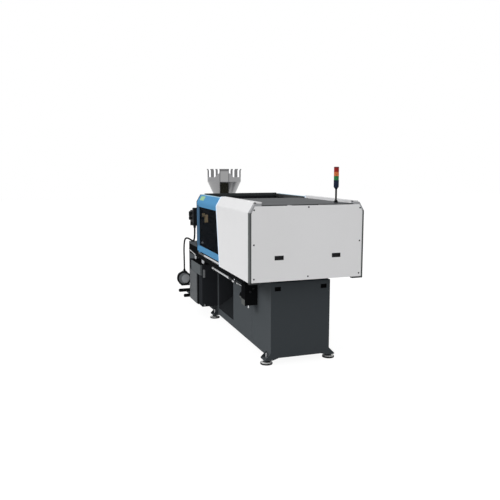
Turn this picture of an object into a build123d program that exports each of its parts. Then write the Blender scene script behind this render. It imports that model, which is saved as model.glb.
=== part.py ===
from build123d import *
import math
import os

# Horizontal hydraulic injection moulding machine, in millimetres.
# X runs along the machine from the clamp end to the injection end, Y to its rear side, Z up.
# Lengths along X are taken from the outer face of the clamp end cover, and the whole part is
# moved back by half its length when it is written, so the origin is at the middle of the floor.

os.makedirs("parts", exist_ok=True)

# Overall sizes
overall_length = 3960.0
overall_reach = 665.0


def along(station):
    """A station along X, measured on a machine 3960 long, which keeps its share of the length."""
    return station * overall_length / 3960.0


# Cover width, heights and gaps
cover_half = 600.0
axis_z = 1170.0
sheet = 3.0
seat_gap = 0.3
fit_gap = 0.05
rest_gap = 1.0

# Base frame
base_x0 = along(158.0)
base_x1 = along(3720.0)
base_half = 322.0
base_bottom = 65.0
base_top = 837.0
base_wall = 10.0
bay_x0 = along(1410.0)
bay_x1 = along(2040.0)
bay_sill = 150.0
bay_head = 700.0
bay_beam = 90.0
end_slot_y = 250.0
end_slot_z = 773.0
end_slot_width = 65.0
end_slot_height = 43.0
seam_x = along(729.0)
seam_width = 2.5
seam_depth = 2.0
inlet_radius = 25.0
inlet_z = 420.0

# Ways on the base for the clamp platens
way_inner = 236.0
way_outer = 296.0
way_top = 877.0
way_x0 = along(780.0)
way_spare = 190.0

# Feet and levelling mounts
foot_reach = 385.0
foot_inner = 296.0
foot_root = 228.0
foot_underside = 45.0
foot_plate = 12.0
foot_rise = 55.0
foot_length = 124.0
foot_x = [along(220.0), along(2160.0), along(3600.0)]
mount_y = 345.0
pad_radius = 62.5
pad_height = 14.0
cup_radius = 57.0
cup_height = 14.0
screw_radius = 8.0
screw_top = 112.0
nut_flats = 24.0
nut_height = 13.0

# Covers of the clamp
cover_x0 = 48.0
cover_bottom = 877.0
cover_fold_z = 1542.0
cover_ridge_y = 540.0
cover_ridge_z = 1644.0
cover_lip_y = 480.0
cover_lip_depth = 32.0
cover_front_hem = 12.0
cover_bend = 45.0
ridge_bend = 14.0
hem_bend = 4.0
cover_far_top = along(1163.0)
cover_far_bottom = along(1046.0)
cover_hem = 12.0
top_plate_z = 1615.0
top_plate_x1 = along(1220.0)
top_plate_hem = 20.0
end_plate_bottom = 883.0
end_plate_fold = 1535.0
end_plate_shoulder = 548.0
end_plate_gap = 9.0
strip_width = 18.0
strip_hook_bottom = 484.0
strip_hook_top = 481.0
finger_slot_y = 302.0
finger_slot_z = 1110.0
finger_slot_width = 94.0
finger_slot_height = 43.0
cup_depth = 24.0
cup_wall = 2.0

# Frame that carries the covers and the gate rails
frame_x0 = along(240.0)
rail_seat_inner = 550.0
rail_seat_outer = 597.0
outrigger_x = [along(x) for x in (260.0, 640.0, 1200.0, 1380.0, 2072.0)]
outrigger_width = 40.0
gate_rail_inner = 556.0
gate_rail_outer = 582.0
gate_rail_height = 28.0
upper_rail_width = 15.5
upper_rail_height = 24.0
upper_rail_cap = 13.0

# Safety gates
gate_recess = 8.0
gate_drop = 15.0
gate_bend = 80.0
gate_lip_y = 486.0
gate_lip_depth = 36.0
gate_x0 = along(1020.0)
gate_x1 = along(2070.0)
gate_bottom = 924.0
gate_window_x0 = along(1090.0)
gate_window_x1 = along(1960.0)
gate_window_z0 = 1000.0
gate_window_z1 = 1485.0
gate_shoe_length = 90.0
pane_thickness = 5.0
pane_lap = 18.0
handle_z0 = 1110.0
handle_z1 = 1390.0
handle_x = gate_x1 - 70.0
handle_radius = 10.0
handle_stand = 45.0

# Bulkhead behind the mould space
bulkhead_x0 = along(2076.0)
bulkhead_depth = 26.0
bulkhead_inset = 2.0

# Platens and tie bars
platen_half = 280.0
platen_corner = 45.0
tail_x0 = along(800.0)
tail_x1 = along(920.0)
fixed_x0 = along(2045.0)
fixed_x1 = along(2165.0)
moving_x0 = along(1310.0)
moving_x1 = along(1420.0)
clamp_stroke = 380.0
tie_bar_spacing = 190.0
tie_bar_radius = 30.0
tie_nut_radius = 50.0
tie_nut_length = 50.0
bar_overhang = 12.0
mould_bolt_spacing = 105.0
mould_bolt_radius = 7.0
mould_bolt_depth = 32.0
locating_radius = 50.0
locating_depth = 30.0
back_bore_radius = 90.0
shoe_width = 40.0
shoe_length = 150.0

# Clamp cylinder and ram
cylinder_x0 = along(250.0)
cylinder_x1 = along(950.0)
cylinder_radius = 130.0
cylinder_bore = 105.0
cylinder_end_wall = 50.0
neck_length = 50.0
flange_radius = 175.0
ram_radius = 90.0
ram_x0 = along(340.0)
piston_length = 80.0
ram_flange_radius = 130.0
ram_flange_length = 25.0

# Ejector box and ejector
box_back_x0 = along(1110.0)
box_back_x1 = along(1150.0)
box_half_height = 145.0
box_back_half = 268.0
cheek_inner = 130.0
cheek_outer = 165.0
ejector_x0 = along(1200.0)
ejector_plate = 25.0
ejector_stroke = 70.0
ejector_arm_half = 40.0
ejector_side_y = 225.0
ejector_rod_radius = 12.0
ejector_hole_gap = 1.0
ejector_pitch = 70.0
ejector_cylinder_radius = 38.0
ejector_cylinder_length = 105.0

# Injection unit
slide_bar_y = 105.0
slide_bar_z = 945.0
slide_bar_radius = 25.0
slide_bar_x1 = along(3660.0)
bar_bracket_x0 = along(3600.0)
bar_bracket_x1 = along(3650.0)
feed_x0 = along(2780.0)
feed_x1 = along(2940.0)
feed_half = 235.0
feed_neck_half = 85.0
feed_shoulder = 20.0
feed_top = 1265.0
feed_bottom = 890.0
carriage_travel = 170.0
barrel_x0 = along(2330.0)
barrel_radius = 45.0
screw_bar_radius = 20.0
nozzle_x0 = along(2236.0)
nozzle_radius = 26.0
nozzle_tip_radius = 9.0
band_radius = 54.0
band_count = 4
band_x0 = along(2366.0)
band_pitch = (feed_x0 - band_x0 - 14.0) / band_count
band_width = band_pitch - 26.0
guard_half = 92.0
guard_top = 1310.0
guard_x0 = along(2445.0)
guard_chamfer = 20.0
guard_bottom = 1050.0
purge_x0 = along(2222.0)
purge_x1 = along(2352.0)
purge_half = 60.0
purge_top = 1262.0
purge_bottom = 1095.0
purge_pin_radius = 5.0
injection_cylinder_y = 180.0
injection_cylinder_radius = 42.0
injection_stroke = 150.0
injection_cylinder_length = injection_stroke + 90.0
injection_rod_radius = 20.0
injection_drop = 40.0
drive_x0 = along(3310.0)
drive_x1 = along(3400.0)
drive_half = 235.0
drive_bottom = 895.0
drive_top = 1300.0
drive_neck_half = 140.0
drive_shoulder = 60.0
motor_flange_radius = 110.0
motor_radius = 88.0
motor_flange_length = 40.0
motor_body_x1 = along(3610.0)
coupling_bore = 34.0
coupling_depth = 60.0
seat_cylinder_z = 1040.0
seat_cylinder_radius = 32.0
seat_rod_radius = 14.0
seat_cylinder_x0 = along(2480.0)
cylinder_floor = 20.0

# Hopper
hopper_x = along(2860.0)
hopper_turn = -16.0
hopper_radius = 234.0
hopper_sheet = 2.0
hopper_rim = 1944.0
hopper_throat_radius = 40.0
hopper_flange = 62.0
hopper_flange_z = feed_top + 60.0
cone_foot_z = hopper_flange_z + 32.0
hopper_shoulder = hopper_flange_z + 0.722 * (hopper_rim - hopper_flange_z)
cone_height = hopper_shoulder - cone_foot_z
throat_radius = 22.0
lid_lip = 14.0
lid_gap = 1.0
lid_pin_radius = 4.0
shutoff_half = 62.0
slide_width = 60.0
slide_height = 8.0
slide_drop = 26.0
slide_front = 88.0
slide_tail = 72.0
grip_half = 16.0
grip_length = 10.0
grip_height = [14.0, 22.0]
sight_width = 112.0
sight_z0 = hopper_shoulder - 0.385 * cone_height
sight_z1 = hopper_shoulder - 0.024 * cone_height
sight_frame = 8.0
sight_thickness = 6.0
panel_z0 = hopper_shoulder + 6.0
panel_z1 = hopper_rim - 16.0

# Signal tower
tower_x = along(180.0)
tower_y = -380.0
tower_pole_radius = 9.5
tower_foot_radius = 22.0
tower_foot_height = 26.0
tower_radius = 26.0
tower_base_z0 = top_plate_z + 156.0
tower_base_z1 = tower_base_z0 + 68.0
lens_height = 41.0
lens_count = 3
lens_radius = 25.0
tower_cap_height = 10.0

# Oil tank and service door
tank_x0 = along(2110.0)
tank_x1 = along(2700.0)
tank_outer = 525.0
tank_bottom = 170.0
tank_top = 722.0
tank_wall = 6.0
bay_depth = 60.0
bay_margin = 60.0
door_thickness = 22.0
door_gap = 3.0
door_top = tank_top - 140.0
door_bottom = tank_bottom + 2.0
hinge_radius = 7.0
hinge_z0 = door_bottom + 4.0
hinge_z1 = door_top - 24.0
hinge_inset = 190.0
bay_inset = 34.0
cap_inset = 42.0
cap_x = [tank_x0 + 72.0, tank_x0 + 470.0]
cap_height = [68.0, 75.0]
cap_radius = [27.0, 23.0]
gauge_inset = 23.0
gauge_width = 26.0
gauge_drop = [166.0, 62.0]
return_pipe_radius = 8.0
return_pipe_end = (along(3670.0), 716.0)

# Pump motor
motor_x0 = along(3100.0)
motor_y = 542.0
motor_z = 371.0
pump_motor_radius = 100.0
cowl_length = 45.0
body_radius = 86.0
body_length = 60.0
pump_radius = 48.0
pump_length = 145.0
terminal_reach = 45.0
filter_x = along(3000.0)
filter_ends = [(646.0, 219.0), (574.0, 139.0)]
filter_radius = 24.0
filter_head_radius = 36.0
filter_head_length = 16.0

# Lubrication unit
lube_x0 = along(554.0)
lube_x1 = along(674.0)
lube_outer = 462.0
lube_z0 = 530.0
lube_z1 = 760.0
lube_motor_y = 395.0
lube_motor_z = 592.0
lube_motor_radius = 52.0
lube_motor_length = 130.0
plug_drop = 28.0
pipe_y = 385.0
pipe_z = 676.0
pipe_radius = 11.0
hose_radius = 7.0
pipe_joint_x = along(1360.0)
valve_x = along(1158.0)
valve_neck = 34.0
lever_length = 105.0

# Core pull manifold
manifold_length = 170.0
manifold_depth = 72.0
coupling_length = 24.0
coupling_neck = 9.0
manifold_y1 = overall_reach - coupling_length - coupling_neck
manifold_y0 = manifold_y1 - manifold_depth
manifold_z0 = 1232.0
manifold_z1 = 1424.0
bracket_plate = 8.0
bracket_inner = 450.0
gland_length = 28.0
gland_radius = 17.0

# Power cable, a route of points chosen along its real run
cable_radius = 11.0
cable_y = manifold_y1 - 26.0
terminal_y = motor_y - 16.0
terminal_top = motor_z + 96.0
cable_route = [
    (along(2150), cable_y, manifold_z0 - gland_length),
    (along(2150), cable_y, 1090.0),
    (along(2232), cable_y - 4.0, 1016.0),
    (along(2420), cable_y - 10.0, 1018.0),
    (along(2700), cable_y - 22.0, 1014.0),
    (along(2960), terminal_y + 36.0, 960.0),
    (along(3100), terminal_y + 16.0, 800.0),
    (along(3160), terminal_y, 640.0),
    (along(3160), terminal_y, terminal_top + gland_length),
]

# Operator panel
panel_x0 = along(2236.0)
panel_x1 = along(2626.0)
panel_depth = 58.0
stop_stand = 23.0
panel_bottom = 1190.0
panel_top = 1520.0
panel_pin_x = along(2204.0)
panel_pin_y = stop_stand + panel_depth + 7.0 - overall_reach
panel_pin_radius = 12.0
stop_radius = 20.0
stop_stem = 11.0
stop_travel = 6.0
stem_depth = 30.0


def block(x0, x1, y0, y1, z0, z1):
    """A box between two corners."""
    return Pos((x0 + x1) / 2, (y0 + y1) / 2, (z0 + z1) / 2) * Box(x1 - x0, y1 - y0, z1 - z0)


def rod(axis, start, length, radius):
    """A round bar of a length from its start point along X, Y or Z."""
    turn = {"x": Rot(0, 90, 0), "y": Rot(-90, 0, 0), "z": Rot(0, 0, 0)}[axis]
    low = (Align.CENTER, Align.CENTER, Align.MIN)
    return Pos(*start) * turn * Cylinder(radius, length, align=low)


def turned(axis, centre, outline):
    """A turned piece from its half outline of (distance along the axis, radius) points."""
    turn = {"x": Rot(0, 90, 0), "y": Rot(-90, 0, 0), "z": Rot(0, 0, 0)}[axis]
    face = make_face(Polyline([(radius, along) for along, radius in outline], close=True))
    return Pos(*centre) * turn * revolve(Plane.XZ * face, Axis.Z)


def prism_x(points, x0, x1):
    """A solid with a section of (Y, Z) points, from x0 to x1."""
    face = make_face(Polyline(points, close=True))
    return extrude(Plane.YZ.offset(x0) * face, x1 - x0)


def folded(points, thickness):
    """The closed section of a sheet folded along points, thickened to their left."""
    steps = [(b[0] - a[0], b[1] - a[1]) for a, b in zip(points, points[1:])]
    lefts = [(-v / math.hypot(u, v), u / math.hypot(u, v)) for u, v in steps]
    inner = []
    for i, (y, z) in enumerate(points):
        before = lefts[max(i - 1, 0)]
        after = lefts[min(i, len(lefts) - 1)]
        mitre = 1 + before[0] * after[0] + before[1] * after[1]
        shift_y = thickness * (before[0] + after[0]) / mitre
        shift_z = thickness * (before[1] + after[1]) / mitre
        inner.append((y + shift_y, z + shift_z))
    return points + inner[::-1]


def bent(points, bends, thickness, x0, x1):
    """A folded sheet from x0 to x1 with rounded bends, its inside to the left of points."""
    inner = folded(points, thickness)[len(points):]
    outside = FilletPolyline(*points, radius=bends)
    inside = FilletPolyline(*inner, radius=[bend - thickness for bend in reversed(bends)])
    ends = [Line(outside @ 1, inside @ 0), Line(inside @ 1, outside @ 0)]
    face = make_face([outside, ends[0], inside, ends[1]])
    return extrude(Plane.YZ.offset(x0) * face, x1 - x0)


def strut(start, end, radius):
    """A round bar between two points."""
    low = (Align.CENTER, Align.CENTER, Align.MIN)
    reach = Vector(*end) - Vector(*start)
    return Plane(start, z_dir=reach) * Cylinder(radius, reach.length, align=low)


def hexagon(x, y, z0, flats, height):
    """A hexagonal nut blank standing on z0."""
    low = (Align.CENTER, Align.CENTER, Align.MIN)
    return Pos(x, y, z0) * extrude(RegularPolygon(flats / 2, 6, major_radius=False), height)


def other_side(shape):
    """The same shape on the other side of the machine."""
    return mirror(shape, about=Plane.XZ)


def both(shape):
    """The shape and its mirror image, as a list of solids."""
    return list(shape.solids()) + list(other_side(shape).solids())


def save(name, *shapes):
    """Write a node with its solids moved to the machine's middle."""
    solids = []
    for shape in shapes:
        solids.extend(shape.solids() if hasattr(shape, "solids") else shape)
    home = Pos(-overall_length / 2, 0, 0)
    placed = [home * solid for solid in solids]
    export_step(placed[0] if len(placed) == 1 else Compound(placed), f"parts/{name}.step")


# Base frame, a closed welded box with an open bay under the mould space
frame = block(base_x0, base_x1, -base_half, base_half, base_bottom, base_top)
clamp_cavity = block(
    base_x0 + base_wall, bay_x0 - base_wall,
    base_wall - base_half, base_half - base_wall, base_bottom + base_wall, base_top - base_wall,
)
pump_cavity = block(
    bay_x1 + base_wall, base_x1 - base_wall,
    base_wall - base_half, base_half - base_wall, base_bottom + base_wall, base_top - base_wall,
)
bay_window = block(bay_x0, bay_x1, -base_half, base_half, bay_sill, bay_head)
bay_mouth = block(bay_x0, bay_x1, bay_beam - base_half, base_half - bay_beam, bay_head, base_top)
frame -= clamp_cavity + pump_cavity + bay_window + bay_mouth
for y in (-end_slot_y, end_slot_y):
    frame -= block(
        base_x0, base_x0 + base_wall, y - end_slot_width / 2, y + end_slot_width / 2,
        end_slot_z - end_slot_height / 2, end_slot_z + end_slot_height / 2,
    )
frame -= rod("x", (base_x1 - base_wall, 0, inlet_z), base_wall, inlet_radius)

# Fine seam across each side, where the two base panels meet
for y in (-base_half, base_half - seam_depth):
    frame -= block(seam_x, seam_x + seam_width, y, y + seam_depth, base_bottom, base_top)

# Hardened ways that the platens stand and slide on
way_x1 = moving_x1 + clamp_stroke + way_spare
for y0, y1 in ((way_inner, way_outer), (-way_outer, -way_inner)):
    frame += block(way_x0, way_x1, y0, y1, base_top, way_top)

# Feet: a plate under each corner between two gussets
gusset = [
    (foot_root, base_bottom + 2), (foot_inner, foot_underside), (foot_reach, foot_underside),
    (foot_reach, foot_underside + foot_plate), (base_half, base_bottom + foot_rise),
    (base_half - base_wall, base_bottom + foot_rise), (base_half - base_wall, base_bottom + 2),
]
for x in foot_x:
    foot_x0 = x - foot_length / 2
    foot_x1 = x + foot_length / 2
    foot = prism_x(gusset, foot_x0, foot_x0 + base_wall)
    foot += prism_x(gusset, foot_x1 - base_wall, foot_x1)
    foot += block(
        foot_x0, foot_x1, foot_inner, foot_reach, foot_underside, foot_underside + foot_plate
    )
    foot -= rod("z", (x, mount_y, foot_underside), foot_plate, screw_radius + rest_gap)
    frame += foot
    frame += other_side(foot)

# Shelf for the pump motor, welded to the base, with two saddles
shelf_z = motor_z - pump_motor_radius - 16
body_x0 = motor_x0 + cowl_length
pump_x0 = body_x0 + body_length
pump_x1 = pump_x0 + pump_length
shelf = block(body_x0, pump_x1 - 10, base_half, motor_y + 30, shelf_z, shelf_z + 12)
for x, radius in ((body_x0 + 10, body_radius), (pump_x0 + 70, pump_radius)):
    saddle = block(x, x + 40, motor_y - 45, motor_y + 30, shelf_z + 12, motor_z - 30)
    shelf += saddle - rod("x", (x, motor_y, motor_z), 40, radius)
frame += shelf
save("base_frame", frame)

# Levelling mounts
pads = []
cups = []
screws = []
nuts = []
foot_top = foot_underside + foot_plate
for x in foot_x:
    for y in (-mount_y, mount_y):
        pads.append(rod("z", (x, y, 0), pad_height, pad_radius))
        cups.append(turned("z", (x, y, 0), [
            (pad_height, 0), (pad_height, cup_radius), (pad_height + cup_height, screw_radius * 2),
            (pad_height + cup_height, 0),
        ]))
        stud = rod("z", (x, y, pad_height + cup_height), screw_top - pad_height - cup_height,
                   screw_radius)
        head = foot_underside - nut_height - seat_gap
        screws.append(stud + hexagon(x, y, head, nut_flats, nut_height))
        nut = hexagon(x, y, foot_top, nut_flats, nut_height)
        nuts.append(nut - rod("z", (x, y, foot_top), nut_height, screw_radius + fit_gap))
save("mount_pads", *pads)
save("mount_screws", *cups, *screws, *nuts)

# Product chute, a sheet sloping to the rear across the bay
chute_top = bay_head - 60
chute_low = bay_sill + 30
chute = prism_x(
    folded([
        (base_half - 4, chute_low - 26), (base_half - 4, chute_low),
        (-base_half + 4, chute_top), (-base_half + 4, chute_top + 40),
    ], -sheet),
    bay_x0 + seat_gap, bay_x1 - seat_gap,
)
save("product_chute", chute)

# Side covers, folded sheets cut off at a slant
cover_points = [
    (cover_half - cover_hem, cover_bottom), (cover_half, cover_bottom),
    (cover_half, cover_fold_z), (cover_ridge_y, cover_ridge_z),
    (cover_lip_y, cover_ridge_z), (cover_lip_y, cover_ridge_z - cover_lip_depth),
]
cover_bends = [hem_bend, cover_bend, ridge_bend, hem_bend]
cover = bent(cover_points, cover_bends, sheet, cover_x0, cover_far_top)
slant = (cover_far_top - cover_far_bottom) / (cover_fold_z - cover_bottom)
cut_points = [
    (cover_far_bottom - slant * 40, cover_bottom - 40), (cover_far_top, cover_fold_z),
    (cover_far_top, cover_bottom - 40),
]
cut_face = make_face(Polyline(cut_points, close=True))
cover -= extrude(Plane.XZ.offset(-cover_half - 1) * cut_face, cover_half)
lip_end = cover_ridge_y - ridge_bend / 2
cover += block(0, cover_x0, cover_lip_y, lip_end, cover_ridge_z - sheet, cover_ridge_z)
cover += block(0, sheet, cover_lip_y, lip_end, cover_ridge_z - cover_front_hem, cover_ridge_z)
save("rear_cover", cover)
save("front_cover", other_side(cover))

# Clamp end cover and the dark strips beside it
plate_half = cover_half - strip_width
end_plate_top = top_plate_z - end_plate_gap
plate_points = [
    (plate_half, end_plate_bottom), (plate_half, end_plate_fold),
    (end_plate_shoulder, end_plate_top), (-end_plate_shoulder, end_plate_top),
    (-plate_half, end_plate_fold), (-plate_half, end_plate_bottom),
]
end_plate = prism_x(plate_points, 0, sheet)
for y in (-finger_slot_y, finger_slot_y):
    end_plate -= block(
        0, sheet, y - finger_slot_width / 2, y + finger_slot_width / 2,
        finger_slot_z - finger_slot_height / 2, finger_slot_z + finger_slot_height / 2,
    )
save("end_cover", end_plate)

strip_top = cover_ridge_z - cover_front_hem - 2 * rest_gap
lean = (cover_half - cover_ridge_y) / (cover_ridge_z - cover_fold_z)
strip_shoulder = cover_half - lean * (strip_top - cover_fold_z)
strip_foot = end_plate_bottom - strip_width + 2
strip_points = [
    (strip_hook_bottom, strip_foot), (cover_half, strip_foot), (cover_half, cover_fold_z),
    (strip_shoulder, strip_top), (strip_hook_top, strip_top), (strip_hook_top, end_plate_top),
    (end_plate_shoulder, end_plate_top), (plate_half, end_plate_fold),
    (plate_half, end_plate_bottom), (strip_hook_bottom, end_plate_bottom),
]
save("end_strips", *both(prism_x(strip_points, 0, cover_x0)))

# Finger cups behind the slots of the end cover and the base


def finger_cup(x, y, z, width, height):
    """A shallow plastic cup whose mouth fits a slot, with a rim behind the sheet."""
    w = width / 2 - seat_gap
    h = height / 2 - seat_gap
    cup = block(x, x + cup_depth, y - w, y + w, z - h, z + h)
    return cup - block(
        x, x + cup_depth - cup_wall, y - w + cup_wall, y + w - cup_wall,
        z - h + cup_wall, z + h - cup_wall,
    )


slots = [(0, finger_slot_y, finger_slot_z, finger_slot_width, finger_slot_height)]
slots.append((base_x0, end_slot_y, end_slot_z, end_slot_width, end_slot_height))
cups_solids = []
for x, y, z, width, height in slots:
    cups_solids.extend(both(finger_cup(x, y, z, width, height)))
save("finger_cups", *cups_solids)

# Top plate between the lips of the side covers
top_half = cover_lip_y - seat_gap
upper_rail_outer = gate_lip_y - seat_gap
top_plate = block(sheet, top_plate_x1, -top_half, top_half, top_plate_z - sheet, top_plate_z)
hem_half = upper_rail_outer - upper_rail_width - rest_gap
top_plate += block(
    top_plate_x1 - sheet, top_plate_x1, -hem_half, hem_half,
    top_plate_z - top_plate_hem, top_plate_z - sheet,
)
save("top_cover", top_plate)

# Frame under the covers: a long rail each side on short outriggers
side_frame = block(frame_x0, fixed_x1, rail_seat_inner, rail_seat_outer, base_top, cover_bottom)
for x in outrigger_x:
    side_frame += block(
        x - outrigger_width / 2, x + outrigger_width / 2,
        way_outer + rest_gap, rail_seat_inner, base_top, cover_bottom,
    )
save("cover_frame", *both(side_frame))

# Gate rails: a flat rail under each gate and a guide bar at its top
gate_rails = [
    block(frame_x0, fixed_x1 - 40, gate_rail_inner, gate_rail_outer, cover_bottom,
          cover_bottom + gate_rail_height),
    block(cover_x0, bulkhead_x0, upper_rail_outer - upper_rail_width, upper_rail_outer,
          top_plate_z - sheet - upper_rail_height, top_plate_z - sheet),
]
gate_rails[1] += block(
    top_plate_x1 + rest_gap, bulkhead_x0, upper_rail_outer - upper_rail_width, upper_rail_outer,
    top_plate_z - sheet, top_plate_z - sheet + upper_rail_cap,
)
rail_solids = []
for rail in gate_rails:
    rail_solids.extend(both(rail))
save("gate_rails", *rail_solids)

# Safety gates, folded sheets just inside the side covers
gate_outer = cover_half - gate_recess
gate_ridge_z = cover_ridge_z - gate_drop
gate_points = [
    (gate_outer - 22, gate_bottom), (gate_outer, gate_bottom), (gate_outer, cover_fold_z),
    (cover_ridge_y, gate_ridge_z), (gate_lip_y, gate_ridge_z),
    (gate_lip_y, gate_ridge_z - gate_lip_depth),
]
gate = bent(gate_points, [hem_bend, gate_bend, hem_bend * 4, hem_bend], sheet, gate_x0, gate_x1)
gate -= block(
    gate_window_x0, gate_window_x1, gate_outer - sheet, gate_outer, gate_window_z0, gate_window_z1
)
shoe_x = [gate_window_x0 - gate_shoe_length, gate_x1 - gate_shoe_length - 20]
rail_top = cover_bottom + gate_rail_height
for x in shoe_x:
    gate += block(
        x, x + gate_shoe_length, gate_rail_inner, gate_rail_outer, rail_top + seat_gap,
        gate_bottom + sheet,
    )
pane = block(
    gate_window_x0 - pane_lap, gate_window_x1 + pane_lap,
    gate_outer - sheet - pane_thickness, gate_outer - sheet,
    gate_window_z0 - pane_lap, gate_window_z1 + pane_lap,
)
save("rear_gate", gate)
save("rear_gate_window", pane)
save("front_gate", other_side(gate))
save("front_gate_window", other_side(pane))

# Handle of the front gate
grip_y = -gate_outer - handle_stand
handle = rod("z", (handle_x, grip_y, handle_z0), handle_z1 - handle_z0, handle_radius)
for z in (handle_z0 + 30, handle_z1 - 30):
    handle += rod("y", (handle_x, grip_y, z), handle_stand, handle_radius - 2)
save("front_gate_handle", handle)

# Bulkhead, a flanged sheet around the fixed platen
wall_half = gate_outer - bulkhead_inset
wall_side = [
    (wall_half, cover_bottom), (wall_half, cover_fold_z), (cover_ridge_y, gate_ridge_z),
    (gate_lip_y - bulkhead_inset, gate_ridge_z), (gate_lip_y - bulkhead_inset, cover_ridge_z - 4),
]
wall_outline = wall_side + [(-y, z) for y, z in reversed(wall_side)]
bulkhead_x1 = bulkhead_x0 + bulkhead_depth
bulkhead = prism_x(wall_outline, bulkhead_x0, bulkhead_x1)
bulkhead -= prism_x(folded(wall_outline, sheet)[len(wall_outline):], bulkhead_x0 + sheet, bulkhead_x1)
cut_half = platen_half + seat_gap
bulkhead -= block(
    bulkhead_x0, bulkhead_x0 + bulkhead_depth, -cut_half, cut_half, cover_bottom,
    axis_z + platen_half + seat_gap,
)
for y0 in (gate_rail_inner, -gate_rail_outer):
    bulkhead -= block(
        bulkhead_x0, bulkhead_x0 + sheet, y0 - seat_gap,
        y0 + gate_rail_outer - gate_rail_inner + seat_gap, cover_bottom, rail_top + seat_gap,
    )
save("bulkhead", bulkhead)


def platen(x0, x1):
    """A square platen with rounded corners and four tie bar bores."""
    outline = Pos(0, axis_z) * RectangleRounded(2 * platen_half, 2 * platen_half, platen_corner)
    body = extrude(Plane.YZ.offset(x0) * outline, x1 - x0)
    for y in (-tie_bar_spacing, tie_bar_spacing):
        for z in (axis_z - tie_bar_spacing, axis_z + tie_bar_spacing):
            body -= rod("x", (x0, y, z), x1 - x0, tie_bar_radius + fit_gap)
    return body


def mould_holes(x, direction):
    """The tapped holes for a mould, sunk from face x against the direction it faces."""
    holes = []
    start = x if direction < 0 else x - mould_bolt_depth
    for y in (-mould_bolt_spacing, mould_bolt_spacing):
        for z in (axis_z - mould_bolt_spacing, axis_z + mould_bolt_spacing):
            holes.append(rod("x", (start, y, z), mould_bolt_depth, mould_bolt_radius))
    return holes


def platen_feet(x0, x1, ground):
    """Two feet under a platen, down to the ground level they stand on."""
    foot_y0 = way_inner
    shape = block(x0, x1, foot_y0, platen_half, ground, axis_z - platen_half + platen_corner)
    return shape + other_side(shape)


# Tail platen with the clamp cylinder through it
tail = platen(tail_x0, tail_x1) + platen_feet(tail_x0, tail_x1, way_top)
tail -= rod("x", (tail_x0, 0, axis_z), tail_x1 - tail_x0, cylinder_radius + fit_gap)
save("tail_platen", tail)

cylinder = turned("x", (0, 0, axis_z), [
    (cylinder_x0, 0), (cylinder_x0, cylinder_radius - 12), (cylinder_x0 + 12, cylinder_radius),
    (tail_x1, cylinder_radius), (tail_x1, flange_radius), (cylinder_x1, flange_radius),
    (cylinder_x1, ram_radius + fit_gap), (cylinder_x1 - neck_length, ram_radius + fit_gap),
    (cylinder_x1 - neck_length, cylinder_bore), (cylinder_x0 + cylinder_end_wall, cylinder_bore),
    (cylinder_x0 + cylinder_end_wall, 0),
])
save("clamp_cylinder", cylinder)

ram = turned("x", (0, 0, axis_z), [
    (ram_x0, 0), (ram_x0, cylinder_bore - fit_gap), (ram_x0 + piston_length, cylinder_bore - fit_gap),
    (ram_x0 + piston_length, ram_radius), (box_back_x0 - ram_flange_length, ram_radius),
    (box_back_x0 - ram_flange_length, ram_flange_radius), (box_back_x0, ram_flange_radius),
    (box_back_x0, 0),
])
save("ram", ram)

# Tie bars, each with its two end nuts screwed tight
bars = []
for y in (-tie_bar_spacing, tie_bar_spacing):
    for z in (axis_z - tie_bar_spacing, axis_z + tie_bar_spacing):
        bar_x0 = tail_x0 - tie_nut_length - bar_overhang
        bar_x1 = fixed_x1 + tie_nut_length + bar_overhang
        bar = rod("x", (bar_x0, y, z), bar_x1 - bar_x0, tie_bar_radius)
        for x in (tail_x0 - tie_nut_length, fixed_x1):
            bar += rod("x", (x, y, z), tie_nut_length, tie_nut_radius)
        bars.append(bar)
save("tie_bars", *bars)

# Moving platen, cast with the box that holds the ejector
moving = platen(moving_x0, moving_x1)
for hole in mould_holes(moving_x1, 1):
    moving -= hole
moving += block(
    box_back_x0, box_back_x1, -box_back_half, box_back_half,
    axis_z - box_half_height, axis_z + box_half_height,
)
for y0, y1 in ((cheek_inner, cheek_outer), (-cheek_outer, -cheek_inner)):
    moving += block(
        box_back_x1, moving_x0, y0, y1, axis_z - box_half_height, axis_z + box_half_height
    )
window_half = ejector_arm_half + 6
moving -= block(
    ejector_x0 - 8, ejector_x0 + ejector_plate + ejector_stroke + 8, -cheek_outer, cheek_outer,
    axis_z - window_half, axis_z + window_half,
)
ejector_places = [(0, axis_z), (0, axis_z - ejector_pitch), (0, axis_z + ejector_pitch)]
for y, z in ejector_places:
    moving -= rod("x", (moving_x0, y, z), moving_x1 - moving_x0, ejector_rod_radius + ejector_hole_gap)
for y in (-ejector_side_y, ejector_side_y):
    moving -= rod("x", (box_back_x0, y, axis_z), box_back_x1 - box_back_x0,
                  ejector_rod_radius + ejector_hole_gap)

# Bronze shoes under the moving platen, one for each way
shoe = block(
    moving_x1 - shoe_length, moving_x1, way_inner + 4, way_inner + 4 + shoe_width,
    way_top + seat_gap, axis_z - platen_half,
)
save("moving_platen", moving, *both(shoe))

# Ejector plate with its rods, and the two cylinders that drive it
ejector = block(
    ejector_x0, ejector_x0 + ejector_plate, rest_gap * 5 - cheek_inner, cheek_inner - rest_gap * 5,
    axis_z - ejector_pitch - 30, axis_z + ejector_pitch + 30,
)
ejector += block(
    ejector_x0, ejector_x0 + ejector_plate, -ejector_side_y - 30, ejector_side_y + 30,
    axis_z - ejector_arm_half, axis_z + ejector_arm_half,
)
for y, z in ejector_places:
    ejector += rod("x", (ejector_x0 + ejector_plate, y, z),
                   moving_x1 - 20 - ejector_x0 - ejector_plate, ejector_rod_radius)
ejector_bore = ejector_stroke + 25
for y in (-ejector_side_y, ejector_side_y):
    ejector += rod("x", (box_back_x0 - ejector_stroke - 10, y, axis_z),
                   ejector_x0 - box_back_x0 + ejector_stroke + 10, ejector_rod_radius)
save("ejector_plate", ejector)

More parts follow.
